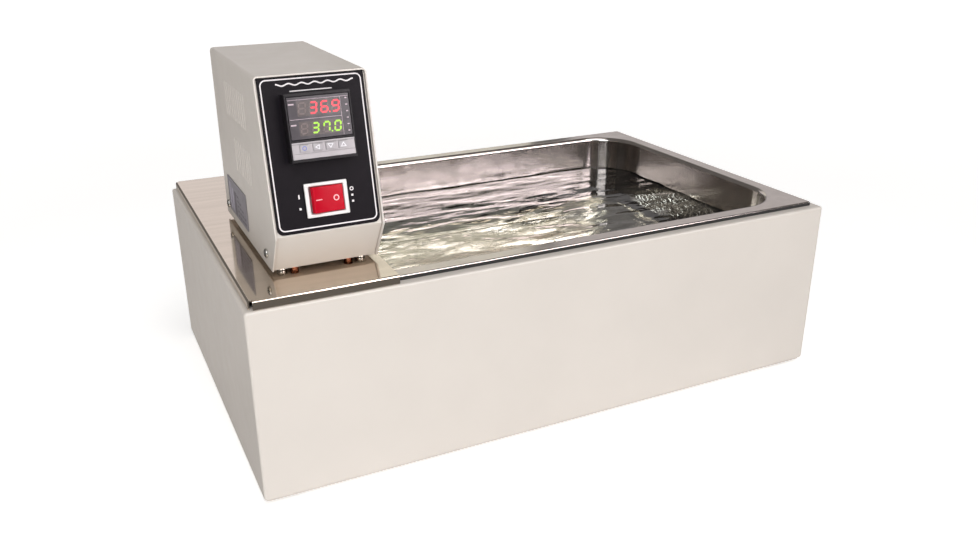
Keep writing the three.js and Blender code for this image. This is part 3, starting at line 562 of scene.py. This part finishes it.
def make_tank():
    half_x, half_y, under, top = sides_of("bath_tank")
    sheet = PAN["sheet"]
    floor = under + sheet
    roll_end = PAN["band"] + PAN["roll"]
    wall_end = roll_end + PAN["lean"]
    floor_end = wall_end + PAN_FLOOR["flat"]
    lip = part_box("outer_case")[1].z / MM + LIP_OVER_CASE
    depth = PAN_FLOOR["radius"]
    corners = [
        ((floor_end, under), 0), ((wall_end - sheet, under), depth + sheet),
        ((roll_end - sheet, top - sheet), PAN["roll"] - sheet), ((sheet, top - sheet), 0.3),
        ((sheet, lip), 0.25), ((0, lip), 0.25), ((0, top), PAN["fold"]), ((PAN["band"], top), 0),
        ((roll_end, top), PAN["roll"]), ((wall_end, floor), depth), ((floor_end, floor), 0),
    ]
    profile = filleted([point for point, _ in corners], [radius for _, radius in corners], False, 7)
    rings = [pan_ring(inset, height) for inset, height in profile]
    stand_in("bath_tank", mesh_of("bath_tank", skin(rings, False)))

    # painted shade: a black rubber band wrapped over the face of the rim's lip, standing in for the dark shadow
    # line under the rim
    radius = PAN["rim_corner"]
    outer = rounded_rectangle(half_x + LIP_SHADE_PROUD, half_y + LIP_SHADE_PROUD, radius + LIP_SHADE_PROUD)
    inner = rounded_rectangle(half_x - sheet / 2, half_y - sheet / 2, radius)
    lip_shade = mesh_of("lip_shade", hoop(outer, inner, lip - 0.2, top - PAN["fold"]))
    show("rim_lip_painted_shade", eased(lip_shade, 0.2), finishes["rubber"], "bath", slot="rubber")


def even_outline(half_x, half_y, radius, along, beside, corner):
    """A rounded rectangle with points spread along its sides as well as round its corners."""
    outline = rounded_rectangle(half_x, half_y, radius, corner)
    points = []
    for quarter in range(4):
        first = quarter * (corner + 1)
        last = first + corner
        finish = Vector(outline[(last + 1) % len(outline)])
        count = along if quarter % 2 == 0 else beside
        points += outline[first:last]
        points += [tuple(Vector(outline[last]).lerp(finish, step / count)) for step in range(count)]
    return points


def crests(x, y, kind):
    """Noise drawn out along x into crests that slant a little."""
    along = x / kind["long"] + kind["shift"]
    beside = y / kind["short"] + x / kind["slant"]
    return noise.noise(Vector((along, beside, kind["seed"])))


def ripple(x, y):
    """Height of the moving water in millimetres: long crests across the flow, with finer ones on top."""
    return WATER["ripple"] * (crests(x, y, SWELL) + CHOP["share"] * crests(x, y, CHOP))


def make_water():
    half_x, half_y, under, top = sides_of("bath_tank")
    level = top - WATER["under_rim"]
    roll_end = PAN["band"] + PAN["roll"]
    wall_drop = top - PAN["roll"] - (under + PAN["sheet"] + PAN_FLOOR["radius"])
    lean_here = PAN["lean"] * (WATER["under_rim"] - PAN["roll"]) / wall_drop
    edge = roll_end + lean_here + WATER["clearance"]
    half_x -= edge
    half_y -= edge
    radius = PAN["corner"] + PAN["band"] - edge
    floor = under + PAN["sheet"] + WATER["clearance"]
    sweep = PAN_FLOOR["radius"]
    bottom_inset = PAN["lean"] + sweep - lean_here

    def ring(inset, height, rippled):
        outline = even_outline(half_x - inset, half_y - inset, max(radius - inset, 0.5),
                               WATER_MESH["along"], WATER_MESH["beside"], WATER_MESH["corner"])
        if rippled:
            return [(x, y, height + ripple(x, y)) for x, y in outline]
        return lifted(outline, height)

    rings = [ring(bottom_inset, floor, False)]
    for step in range(1, WATER_MESH["sweep"] + 1):
        angle = step / WATER_MESH["sweep"] * math.pi / 2
        inset = PAN["lean"] - lean_here + sweep * (1 - math.sin(angle))
        rings.append(ring(inset, floor + sweep * (1 - math.cos(angle)), False))
    rings.append(ring(0, level - WATER["skirt"], False))
    for step in range(WATER_MESH["rings"] + 1):
        inset = (half_y - WATER_MESH["middle"]) * step / WATER_MESH["rings"]
        meniscus = MENISCUS["rise"] * math.exp(-inset / MENISCUS["reach"])
        rings.append(ring(inset, level + meniscus, True))
    show("water", mesh_of("water", skin(rings, False)), water_surface, "bath", smooth_under=75)


# -------------------------------- deck, head and screws

def make_deck():
    low, high = (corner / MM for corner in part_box("deck_plate"))
    notch, skirt, spare = DECK["notch"], DECK["skirt"], DECK["spare"]
    # a tray with lips all round, made too long by the spare, which is then cut off with its lip
    middle_x = (low.x + high.x + spare) / 2
    half_x = (high.x + spare - low.x) / 2
    half_y = high.y
    under = high.z - SHEET
    corners = [
        ((skirt, under), 0), ((SHEET, under), DECK["inner_bend"]), ((SHEET, low.z), 0.3),
        ((0, low.z), 0.3), ((0, high.z), DECK["bend"]), ((skirt, high.z), 0),
    ]
    profile = filleted([point for point, _ in corners], [radius for _, radius in corners], False)
    rings = []
    for inset, height in profile:
        outline = rounded_rectangle(half_x - inset, half_y - inset, 0.4, 2)
        rings.append([(x + middle_x, y, height) for x, y in outline])
    tray = mesh_of("deck", skin(rings, False))
    past = 5
    below, above = low.z - past, high.z + past
    cutters = [block((high.x, -half_y - past, below), (high.x + 2 * spare, half_y + past, above))]
    for side in (-1, 1):
        near, far = sorted((side * (half_y - notch), side * (half_y + past)))
        cutters.append(block((low.x - past, near, below), (low.x + notch, far, above)))
    heater_low, heater_high = (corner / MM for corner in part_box("heater_element"))
    leg = HEATER_LEG["diameter"] / 2
    bore = HEATER_LEG["diameter"] + HEATER_LEG["play"]
    holes = [(bore, x, heater_low.y + leg) for x in (heater_low.x + leg, heater_high.x - leg)]
    for node, bore in DECK_BORES.items():
        centre = sum(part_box(node), Vector()) / 2 / MM
        holes.append((bore, centre.x, centre.y))
    cutters += [rod(bore, below, above, x, y) for bore, x, y in holes]
    deck = carved(tray, cutters)
    stand_in("deck_plate", eased(deck, 0.22, 2, 50), deck_steel)


def pan_head(diameter, height, thread, length):
    """A pan-head screw with a cross recess, its underside at 0 and its thread going down."""
    dome = [(diameter / 2 * math.cos(angle), height * (0.42 + 0.58 * math.sin(angle)))
            for angle in [step / 7 * math.pi / 2 * 0.86 for step in range(8)]]
    profile = [(0, -length), (thread / 2 - 0.3, -length), (thread / 2, 0.4 - length), (thread / 2, 0),
               (diameter / 2 - 0.15, 0), (diameter / 2, 0.15), *dome, (0, height)]
    solid = mesh_of("screw", turned(profile))
    arm, wide, deep = diameter * 0.27, diameter * 0.075, height * 0.55
    cross = [block((-arm, -wide, height - deep), (arm, wide, height + 1)),
             block((-wide, -arm * 0.999, height - deep), (wide, arm * 0.999, height + 1))]
    return carved(carved(solid, cross[:1]), cross[1:])


def make_screws():
    for node in sorted(frame["nodes"]):
        kind = next((start for start in SCREWS if node.startswith(start)), None)
        if kind is None:
            continue
        height = SCREWS[kind]["height"]
        low, high = (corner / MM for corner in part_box(node))
        centre = (low + high) / 2
        if kind == "shell_screw_":
            # its head is on the outside of the cover, on whichever side of the panel it is
            length = high.x - low.x - height
            side = 1 if centre.x > pivot.x / MM else -1
            seat = high.x - height if side > 0 else low.x + height
            place = Matrix.Translation(Vector((seat, centre.y, centre.z)) * MM)
            place @= Matrix.Rotation(side * math.pi / 2, 4, "Y")
        else:
            length = high.z - low.z - height
            place = Matrix.Translation(Vector((centre.x, centre.y, low.z + height)) * MM)
            place @= Matrix.Rotation(math.pi, 4, "X")
        mesh = pan_head(SCREWS[kind]["head"], height, SCREWS[kind]["thread"], length)
        mesh.transform(place)
        stand_in(node, mesh)


def make_side_label():
    """A foil on the cover's left side with marks on it: a dark bar along its back end, a broader dark bar, dark
    strokes in columns that grow shorter towards the front, and two pale bars.
    """
    soften("rating_label", 0.1)
    low, high = (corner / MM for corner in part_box("rating_label"))
    length, height = high.y - low.y, high.z - low.z
    # local X runs towards the front, Y up and Z out of the cover
    place = Matrix(((0, 0, -1), (-1, 0, 0), (0, 1, 0))).to_4x4()
    place.translation = Vector((low.x, high.y, low.z)) * MM
    margin, base = RATING_LABEL["margin"], 3
    heading_end = margin + RATING_LABEL["heading"]

    def mark(start, end, bottom, top):
        return block((start, bottom, -PRINT / 2), (end, top, PRINT))

    dark = [mark(margin, heading_end, margin, height - margin),
            mark(length * 0.34, length * 0.44, 2 * margin, height * 0.72)]
    pale = []
    for column in range(4):
        start = length * (0.5 + RATING_LABEL["column"] * column)
        for row in range(5 - column):
            up = base + RATING_LABEL["pitch"] * row
            dark.append(mark(start, start + RATING_LABEL["word"], up, up + RATING_LABEL["line"]))
    for column in range(2):
        start = length * (0.1 + 0.12 * column)
        pale.append(mark(start, start + 4.6, base, height * (0.86 - 0.1 * column)))
    for name, solids, ink in (("dark", dark, dark_marks), ("pale", pale, pale_marks)):
        show(f"rating_label_{name}", mesh_of("marks", together(solids), place), ink, "control_head")


def make_head():
    soften("head_shell", 0.25)
    soften("head_chassis", 0.5, 3, 25)
    soften("rear_panel", 0.4)
    for corner in CORNERS:
        low, high = (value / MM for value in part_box(f"standoff_{corner}"))
        centre = (low + high) / 2
        post = rounded_tube((high.x - low.x) / 2, STANDOFF["bore"], low.z, high.z, STANDOFF["edge"])
        stand_in(f"standoff_{corner}", mesh_of("standoff", shifted(post, centre.x, centre.y)))
        soften(f"standoff_nut_{corner}", 0.3, sharper_than=50)
    for node in ("heater_nut_left", "heater_nut_right", "probe_gland"):
        soften(node, 0.3, sharper_than=50)
    for node in ("power_inlet", "fuse_holder", "terminal_block", "heater_relay", "stirrer_motor"):
        soften(node, 0.4)


def rounded_tube(radius, bore, low, high, edge):
    """A tube about Z whose outer edges are rounded, and its inner ones half as much."""
    inner_edge = edge / 2
    corners = [((bore, low), inner_edge), ((radius, low), edge), ((radius, high), edge),
               ((bore, high), inner_edge)]
    profile = filleted([point for point, _ in corners], [size for _, size in corners], True, 3)
    return skin([lifted(circle(size, steps=36), height) for size, height in profile], True)


# -------------------------------- label, controller and switch

def on_panel(name, solid, material, body="control_head", **options):
    return show(name, mesh_of(name, solid, panel), material, body, **options)


def stroke(points, width):
    """An outline that follows a path at half the width on each side."""
    left, right = [], []
    for index, point in enumerate(points):
        before = Vector(points[max(index - 1, 0)])
        after = Vector(points[min(index + 1, len(points) - 1)])
        ahead = (after - before).normalized()
        side = Vector((-ahead.y, ahead.x)) * width / 2
        right.append(tuple(Vector(point) - side))
        left.append(tuple(Vector(point) + side))
    return right + left[::-1]


def ribbon(points, width, low, high):
    """A stroke made of short closed quads, so that a curved one has no folded face."""
    outline = stroke(points, width)
    count = len(points)
    rings = []
    for index in range(count):
        first = outline[index]
        second = outline[2 * count - 1 - index]
        rings.append([(*first, low), (*second, low), (*second, high), (*first, high)])
    flipped = [ring[::-1] for ring in rings]
    return skin(flipped, False)


def make_label():
    low, high = panel_span("control_label")
    soften("control_label", 0.12)
    face = high.z
    inset, line = LABEL["inset"], LABEL["line"]
    half_x = high.x - inset
    top = high.y - LABEL["top_gap"]
    bottom = low.y + inset + LABEL["low_gap"]
    middle = (top + bottom) / 2
    half_y = (top - bottom) / 2
    outer = rounded_rectangle(half_x, half_y, LABEL["corner"])
    inner = rounded_rectangle(half_x - line, half_y - line, LABEL["corner"] - line)
    border = shifted(hoop(outer, inner, face - PRINT / 2, face + PRINT), 0, middle)
    on_panel("label_border", border, white_ink)

    base = face - PRINT / 2
    skyline = face + PRINT
    marks = []
    # in place of a title: a row of low waves over a plain rule
    start, end, steps = TITLE_WAVE["start"], TITLE_WAVE["end"], TITLE_WAVE["steps"]
    up = high.y - TITLE_WAVE["drop"]
    wave = []
    for step in range(steps + 1):
        x = start + (end - start) * step / steps
        wave.append((x, up + TITLE_WAVE["rise"] * math.sin(x * 2 * math.pi / TITLE_WAVE["length"])))
    marks.append(ribbon(wave, TITLE_WAVE["line"], base, skyline))
    rule = pill(TITLE_RULE["half"], TITLE_RULE["thick"], 0.2, base, skyline)
    marks.append(shifted(rule, TITLE_RULE["x"], high.y - TITLE_RULE["drop"]))
    # beside the switch: a bar and a dot on the side that is on, a ring and two dots on the side that is off
    left, right = SWITCH_MARKS["on"], SWITCH_MARKS["off"]
    marks.append(shifted(pill(0.5, 1.6, 0.2, base, skyline), left, 3.6))
    marks.append(shifted(hoop(circle(1.5), circle(0.85), base, skyline), right, 4.8))
    for x, up in ((left, -5.2), (right, 0.1), (right, -4.4)):
        marks.append(shifted(pill(0.8, 0.8, 0.25, base, skyline), x, up))
    on_panel("label_marks", together(marks), white_ink)


SEGMENTS = {"3": "abcdg", "6": "acdefg", "7": "abcf", "9": "abcdfg", "0": "abcdef", "8": "abcdefg"}


def segment_outlines(tall, wide, thick):
    """The seven bars of a digit, each with pointed ends, about the digit's middle."""
    gap = thick * 0.16
    point = thick / 2

    def bar(x, y, length, upright):
        half = length / 2 - gap
        flat = [(-half, 0), (-half + point, -point), (half - point, -point), (half, 0),
                (half - point, point), (-half + point, point)]
        return [(x - v, y + u) if upright else (x + u, y + v) for u, v in flat]

    x = wide / 2 - point
    y = tall / 2 - point
    return {
        "a": bar(0, y, 2 * x, False), "g": bar(0, 0, 2 * x, False), "d": bar(0, -y, 2 * x, False),
        "b": bar(x, y / 2, y, True), "c": bar(x, -y / 2, y, True),
        "f": bar(-x, y / 2, y, True), "e": bar(-x, -y / 2, y, True),
    }


def make_display():
    low, high = panel_span("controller_window")
    face = high.z
    middle = (low.y + high.y) / 2
    soften("controller_window", 0.3, 3)
    base = face - DISPLAY_HEIGHT["filter"]
    line_top = face + DISPLAY_HEIGHT["line"]
    lit_top = face + DISPLAY_HEIGHT["lit"]
    unlit_top = face + DISPLAY_HEIGHT["unlit"]
    slant = math.tan(math.radians(DIGIT["slant"]))

    filters, ghosts, lines = [], [], []
    glowing = {"red": [], "green": []}
    for row in DISPLAY_ROWS:
        centre = middle + row["up"]
        half = row["tall"] / 2
        pane = pill(15.6, half + 1.1, 0.5, base, face + DISPLAY_HEIGHT["filter"])
        filters.append(shifted(pane, -0.2, centre))
        outlines = segment_outlines(row["tall"], row["tall"] * DIGIT["slim"], DIGIT["stroke"])
        # the first place of a row stays dark
        for place, character in enumerate("8" + row["text"]):
            x = DIGIT["first"] + DIGIT["pitch"] * place
            for name, outline in outlines.items():
                sheared = [(x + u + slant * v, centre + v) for u, v in outline]
                on = place > 0 and name in SEGMENTS[character]
                target = glowing[row["lit"]] if on else ghosts
                target.append(plate(sheared, face, lit_top if on else unlit_top))
        dot_x = DIGIT["first"] + DIGIT["pitch"] * (row["dot"] + 1.5) - slant * half
        glowing[row["lit"]].append(rod(DIGIT["dot"], face, lit_top, dot_x, centre - half + 0.5, 20))
        lines.append(shifted(pill(2.0, 0.5, 0.25, base, line_top), -19.6, centre + half - 1.0))
    margin, thick = DISPLAY_LINES["margin"], DISPLAY_LINES["tall"]
    left, right = low.x + margin, high.x - margin
    upper = middle + DISPLAY_LINES["upper"]
    between = middle + DISPLAY_LINES["between"]
    column = DISPLAY_LINES["column"]
    column_end = column + DISPLAY_LINES["wide"]
    for x0, x1, y0, y1 in ((left, right, upper, upper + thick), (left, column_end, between, between + thick),
                           (column, column_end, low.y + margin, upper)):
        lines.append(block((x0, y0, base), (x1, y1, line_top)))
    for step in range(LAMPS["count"]):
        lamp = pill(0.75, 0.42, 0.2, base, line_top)
        lines.append(shifted(lamp, LAMPS["x"], middle + LAMPS["first"] - LAMPS["pitch"] * step))
    on_panel("display_filters", together(filters), smoke)
    on_panel("display_unlit", together(ghosts), unlit)
    on_panel("display_lines", together(lines), pale_ink)
    for color, solids in glowing.items():
        on_panel(f"display_{color}", together(solids), lit[color])


def make_keys():
    low, high = panel_span("controller_key_strip")
    back, front = low.z, high.z
    sunk, slope, slack = KEY_STRIP["sunk"], KEY_STRIP["slope"], KEY_STRIP["slack"]
    lower = low.y + KEY_STRIP["low_band"]
    upper = high.y - KEY_STRIP["top_band"]
    profile = [
        (low.y, back), (low.y, front), (lower, front), (lower + slope, front - sunk),
        (upper - slope, front - sunk), (upper, front), (high.y, front), (high.y, back),
    ]
    rings = [[(x, y, z) for y, z in profile] for x in (low.x, high.x)]
    strip = mesh_of("strip", skin(rings, False), panel)
    holes = []
    for name in ("set", "shift", "down", "up"):
        key_low, key_high = panel_span(f"key_{name}")
        holes.append(block((key_low.x - slack, key_low.y - slack, back - 1),
                           (key_high.x + slack, key_high.y + slack, front + 1)))
    stand_in("controller_key_strip", eased(carved(strip, holes, panel), 0.04, 1, 30))

    def outlined(points):
        """A three-cornered outline: the same corners drawn in towards the middle."""
        middle = sum((Vector(point) for point in points), Vector((0, 0))) / len(points)
        inner = [tuple(middle.lerp(Vector(point), 0.55)) for point in points]
        return hoop(points, inner, 0, PRINT)

    symbols = {
        "set": hoop(circle(1.6), circle(1.1), 0, PRINT),
        "shift": outlined([(1.5, -1.9), (1.5, 1.9), (-2.1, 0)]),
        "down": outlined([(0, -1.9), (2.3, 1.6), (-2.3, 1.6)]),
        "up": outlined([(-2.3, -1.6), (2.3, -1.6), (0, 1.9)]),
    }
    for name, symbol in symbols.items():
        node = f"key_{name}"
        key_low, key_high = panel_span(node)
        soften(node, 0.3, 3)
        centre = (key_low + key_high) / 2
        mark = shifted(symbol, centre.x, centre.y, key_high.z - PRINT / 3)
        on_panel(f"key_{name}_mark", mark, blue_ink if name == "set" else grey_ink, node)


def make_controller():
    soften("controller_bezel", 0.6, 3)
    for node in ("controller_housing", "controller_clamp"):
        soften(node, 0.6)


def make_switch():
    soften("switch_housing", 0.7, 4)
    half, crown, dish = ROCKER["half"], ROCKER["crown"], ROCKER["dish"]
    lean = math.radians(joints["rocker_pivot"]["range_deg"][1] / 2)

    top = []
    steps = 24
    for step in range(steps + 1):
        share = 1 - 2 * step / steps
        top.append((half * share, crown + dish * share * share))
    shoulder, foot = ROCKER["shoulder"], half * 0.42
    heel = [(-half, shoulder), (-foot, -ROCKER["heel"]), (foot, -ROCKER["heel"]), (half, shoulder)]
    outline = top + heel
    # the outline lies in local X and out-of-panel Z, and is pulled along the slope
    rise = ROCKER["tall"] / 2
    rings = [[(x, y, z) for x, z in outline] for y in (rise, -rise)]
    tilt = panel @ Matrix.Rotation(lean, 4, "Y")
    rocker = eased(mesh_of("rocker", skin(rings, False), tilt), ROCKER["edge"], 5, 40, 0.2)
    stand_in("switch_rocker", rocker, smooth_under=50)

    def on_rocker(name, solid):
        points, faces = solid
        lifted_points = [(x, y, z + crown + dish * (x / half) ** 2) for x, y, z in points]
        show(name, mesh_of(name, (lifted_points, faces), tilt), pink_ink, "rocker")

    base, proud = -ROCKER_INK["sunk"], ROCKER_INK["proud"]
    bar = block((-2.6, -0.35, base), (2.6, 0.35, proud))
    ring = hoop(circle(2.2, steps=40), circle(1.45, steps=40), base, proud)
    on_rocker("rocker_bar", shifted(bar, ROCKER_INK["bar"]))
    on_rocker("rocker_ring", shifted(ring, ROCKER_INK["ring"]))


# -------------------------------- floor, lights and camera

def make_floor():
    material, tree, surface = shader("pale_floor", srgb(243, 242, 241), 0.75)
    tinted(tree, surface, grain(tree, 900, detail=2), srgb(241, 240, 239), srgb(246, 245, 244))
    # a table lit a little from below, more so away from the lamps, so that it stays evenly pale
    place = tree.nodes.new("ShaderNodeTexCoord")
    distance = tree.nodes.new("ShaderNodeVectorMath")
    distance.operation = "LENGTH"
    tree.links.new(place.outputs["Object"], distance.inputs[0])
    level = spread(tree, distance.outputs["Value"], *FLOOR["glow"], *FLOOR["glow_from"])
    tree.links.new(level, surface.inputs["Emission Strength"])
    mesh = bpy.data.meshes.new("floor")
    reach = FLOOR["reach"]
    mesh.from_pydata([(-reach, -reach, 0), (reach, -reach, 0), (reach, reach, 0), (-reach, reach, 0)], [],
                     [(0, 1, 2, 3)])
    floor = bpy.data.objects.new("floor", mesh)
    mesh.materials.append(material)
    bpy.context.scene.collection.objects.link(floor)
    floor.visible_glossy = False


def shine(name, light, rotation, place=(0, 0, 0), only_reflected=False):
    """Puts a light in the scene. One that is only reflected shows in gloss and water, and lights nothing."""
    lamp = bpy.data.objects.new(name, light)
    lamp.location = place
    lamp.rotation_mode = "QUATERNION"
    lamp.rotation_quaternion = rotation
    lamp.visible_diffuse = not only_reflected
    bpy.context.scene.collection.objects.link(lamp)


def soft_panel(name, bearing, height, size, brightness, color, only_reflected=True, distance=2.4):
    """A glowing panel that faces the object from a compass bearing, 0 being straight behind it."""
    turn = math.radians(bearing)
    place = Vector((distance * math.sin(turn), distance * math.cos(turn), height))
    light = bpy.data.lights.new(name, "AREA")
    light.shape = "RECTANGLE"
    light.size, light.size_y = size
    light.energy = brightness * math.pi * size[0] * size[1]
    light.color = color
    rotation = (Vector((0, 0, 0.12)) - place).to_track_quat("-Z", "Y")
    shine(name, light, rotation, place, only_reflected)


def make_lights():
    sky = bpy.data.lights.new("overhead", "SUN")
    sky.energy = 1.6
    sky.angle = math.radians(45)
    shine("overhead", sky, Vector((0, -0.42, 0.7)).to_track_quat("Z", "Y"))
    soft_panel("key", 212, 1.0, (0.9, 0.8), 5.2, (0.97, 1.0, 1.03), only_reflected=False, distance=1.8)
    # the room as the steel and the water mirror it: bright in front, dim behind and below
    soft_panel("front_low", 155, 0.81, (1.5, 0.36), 9.0, (1.0, 0.92, 0.955))
    soft_panel("front_middle", 155, 1.42, (1.5, 0.66), 6.6, (1.0, 0.93, 0.955))
    soft_panel("front_high", 155, 2.28, (1.9, 0.8), 1.2, (1.0, 0.98, 0.84))
    soft_panel("back_left_wall", 5, 1.05, (0.8, 0.9), 0.68, (1.0, 0.94, 0.95))
    soft_panel("back_middle_wall", 23, 1.05, (0.62, 0.9), 0.76, (1.0, 0.98, 0.86))
    soft_panel("back_right_wall", 50, 1.0, (1.5, 1.0), 0.48, (1.0, 0.95, 0.95))
    soft_panel("low_left_wall", -25, -0.75, (1.6, 0.8), 0.2, (1.0, 0.95, 0.9))
    world = bpy.data.worlds.new("studio")
    world.use_nodes = True
    tree = world.node_tree
    background = tree.nodes["Background"]
    background.inputs["Color"].default_value = (1.0, 0.96, 0.92, 1.0)
    background.inputs["Strength"].default_value = 0.16
    # a low camera sees past the floor's far edge, where the room is as pale as the floor
    path = tree.nodes.new("ShaderNodeLightPath")
    beyond = tree.nodes.new("ShaderNodeBackground")
    beyond.inputs["Color"].default_value = (1.0, 1.0, 1.0, 1.0)
    mix = tree.nodes.new("ShaderNodeMixShader")
    tree.links.new(path.outputs["Is Camera Ray"], mix.inputs["Fac"])
    tree.links.new(background.outputs["Background"], mix.inputs[1])
    tree.links.new(beyond.outputs["Background"], mix.inputs[2])
    tree.links.new(mix.outputs["Shader"], tree.nodes["World Output"].inputs["Surface"])
    bpy.context.scene.world = world
    bpy.context.scene.view_settings.view_transform = "Standard"


def make_camera():
    azimuth, elevation, roll = (math.radians(CAMERA[key]) for key in ("azimuth", "elevation", "roll"))
    ahead = Vector((math.sin(azimuth) * math.cos(elevation), math.cos(azimuth) * math.cos(elevation),
                    -math.sin(elevation)))
    right = ahead.cross(Vector((0, 0, 1))).normalized()
    right.rotate(Matrix.Rotation(-roll, 3, ahead))
    upward = right.cross(ahead)
    camera = bpy.data.cameras.new("camera")
    camera.lens = CAMERA["lens"]
    camera.sensor_width = CAMERA["sensor"]
    camera.shift_x, camera.shift_y = CAMERA["shift"]
    camera.clip_start = 0.02
    holder = bpy.data.objects.new("camera", camera)
    place = Matrix((right, upward, -ahead)).transposed().to_4x4()
    place.translation = CAMERA["place"]
    holder.matrix_world = place
    bpy.context.scene.collection.objects.link(holder)
    bpy.context.scene.camera = holder


# -------------------------------- the whole scene

for node, obj in frame["nodes"].items():
    obj.data.materials.clear()
    obj.data.materials.append(finishes[slot_of[node]])

make_camera()
make_case()
make_tank()
make_water()
make_deck()
make_head()
make_side_label()
make_screws()
make_label()
make_controller()
make_display()
make_keys()
make_switch()
make_floor()
make_lights()
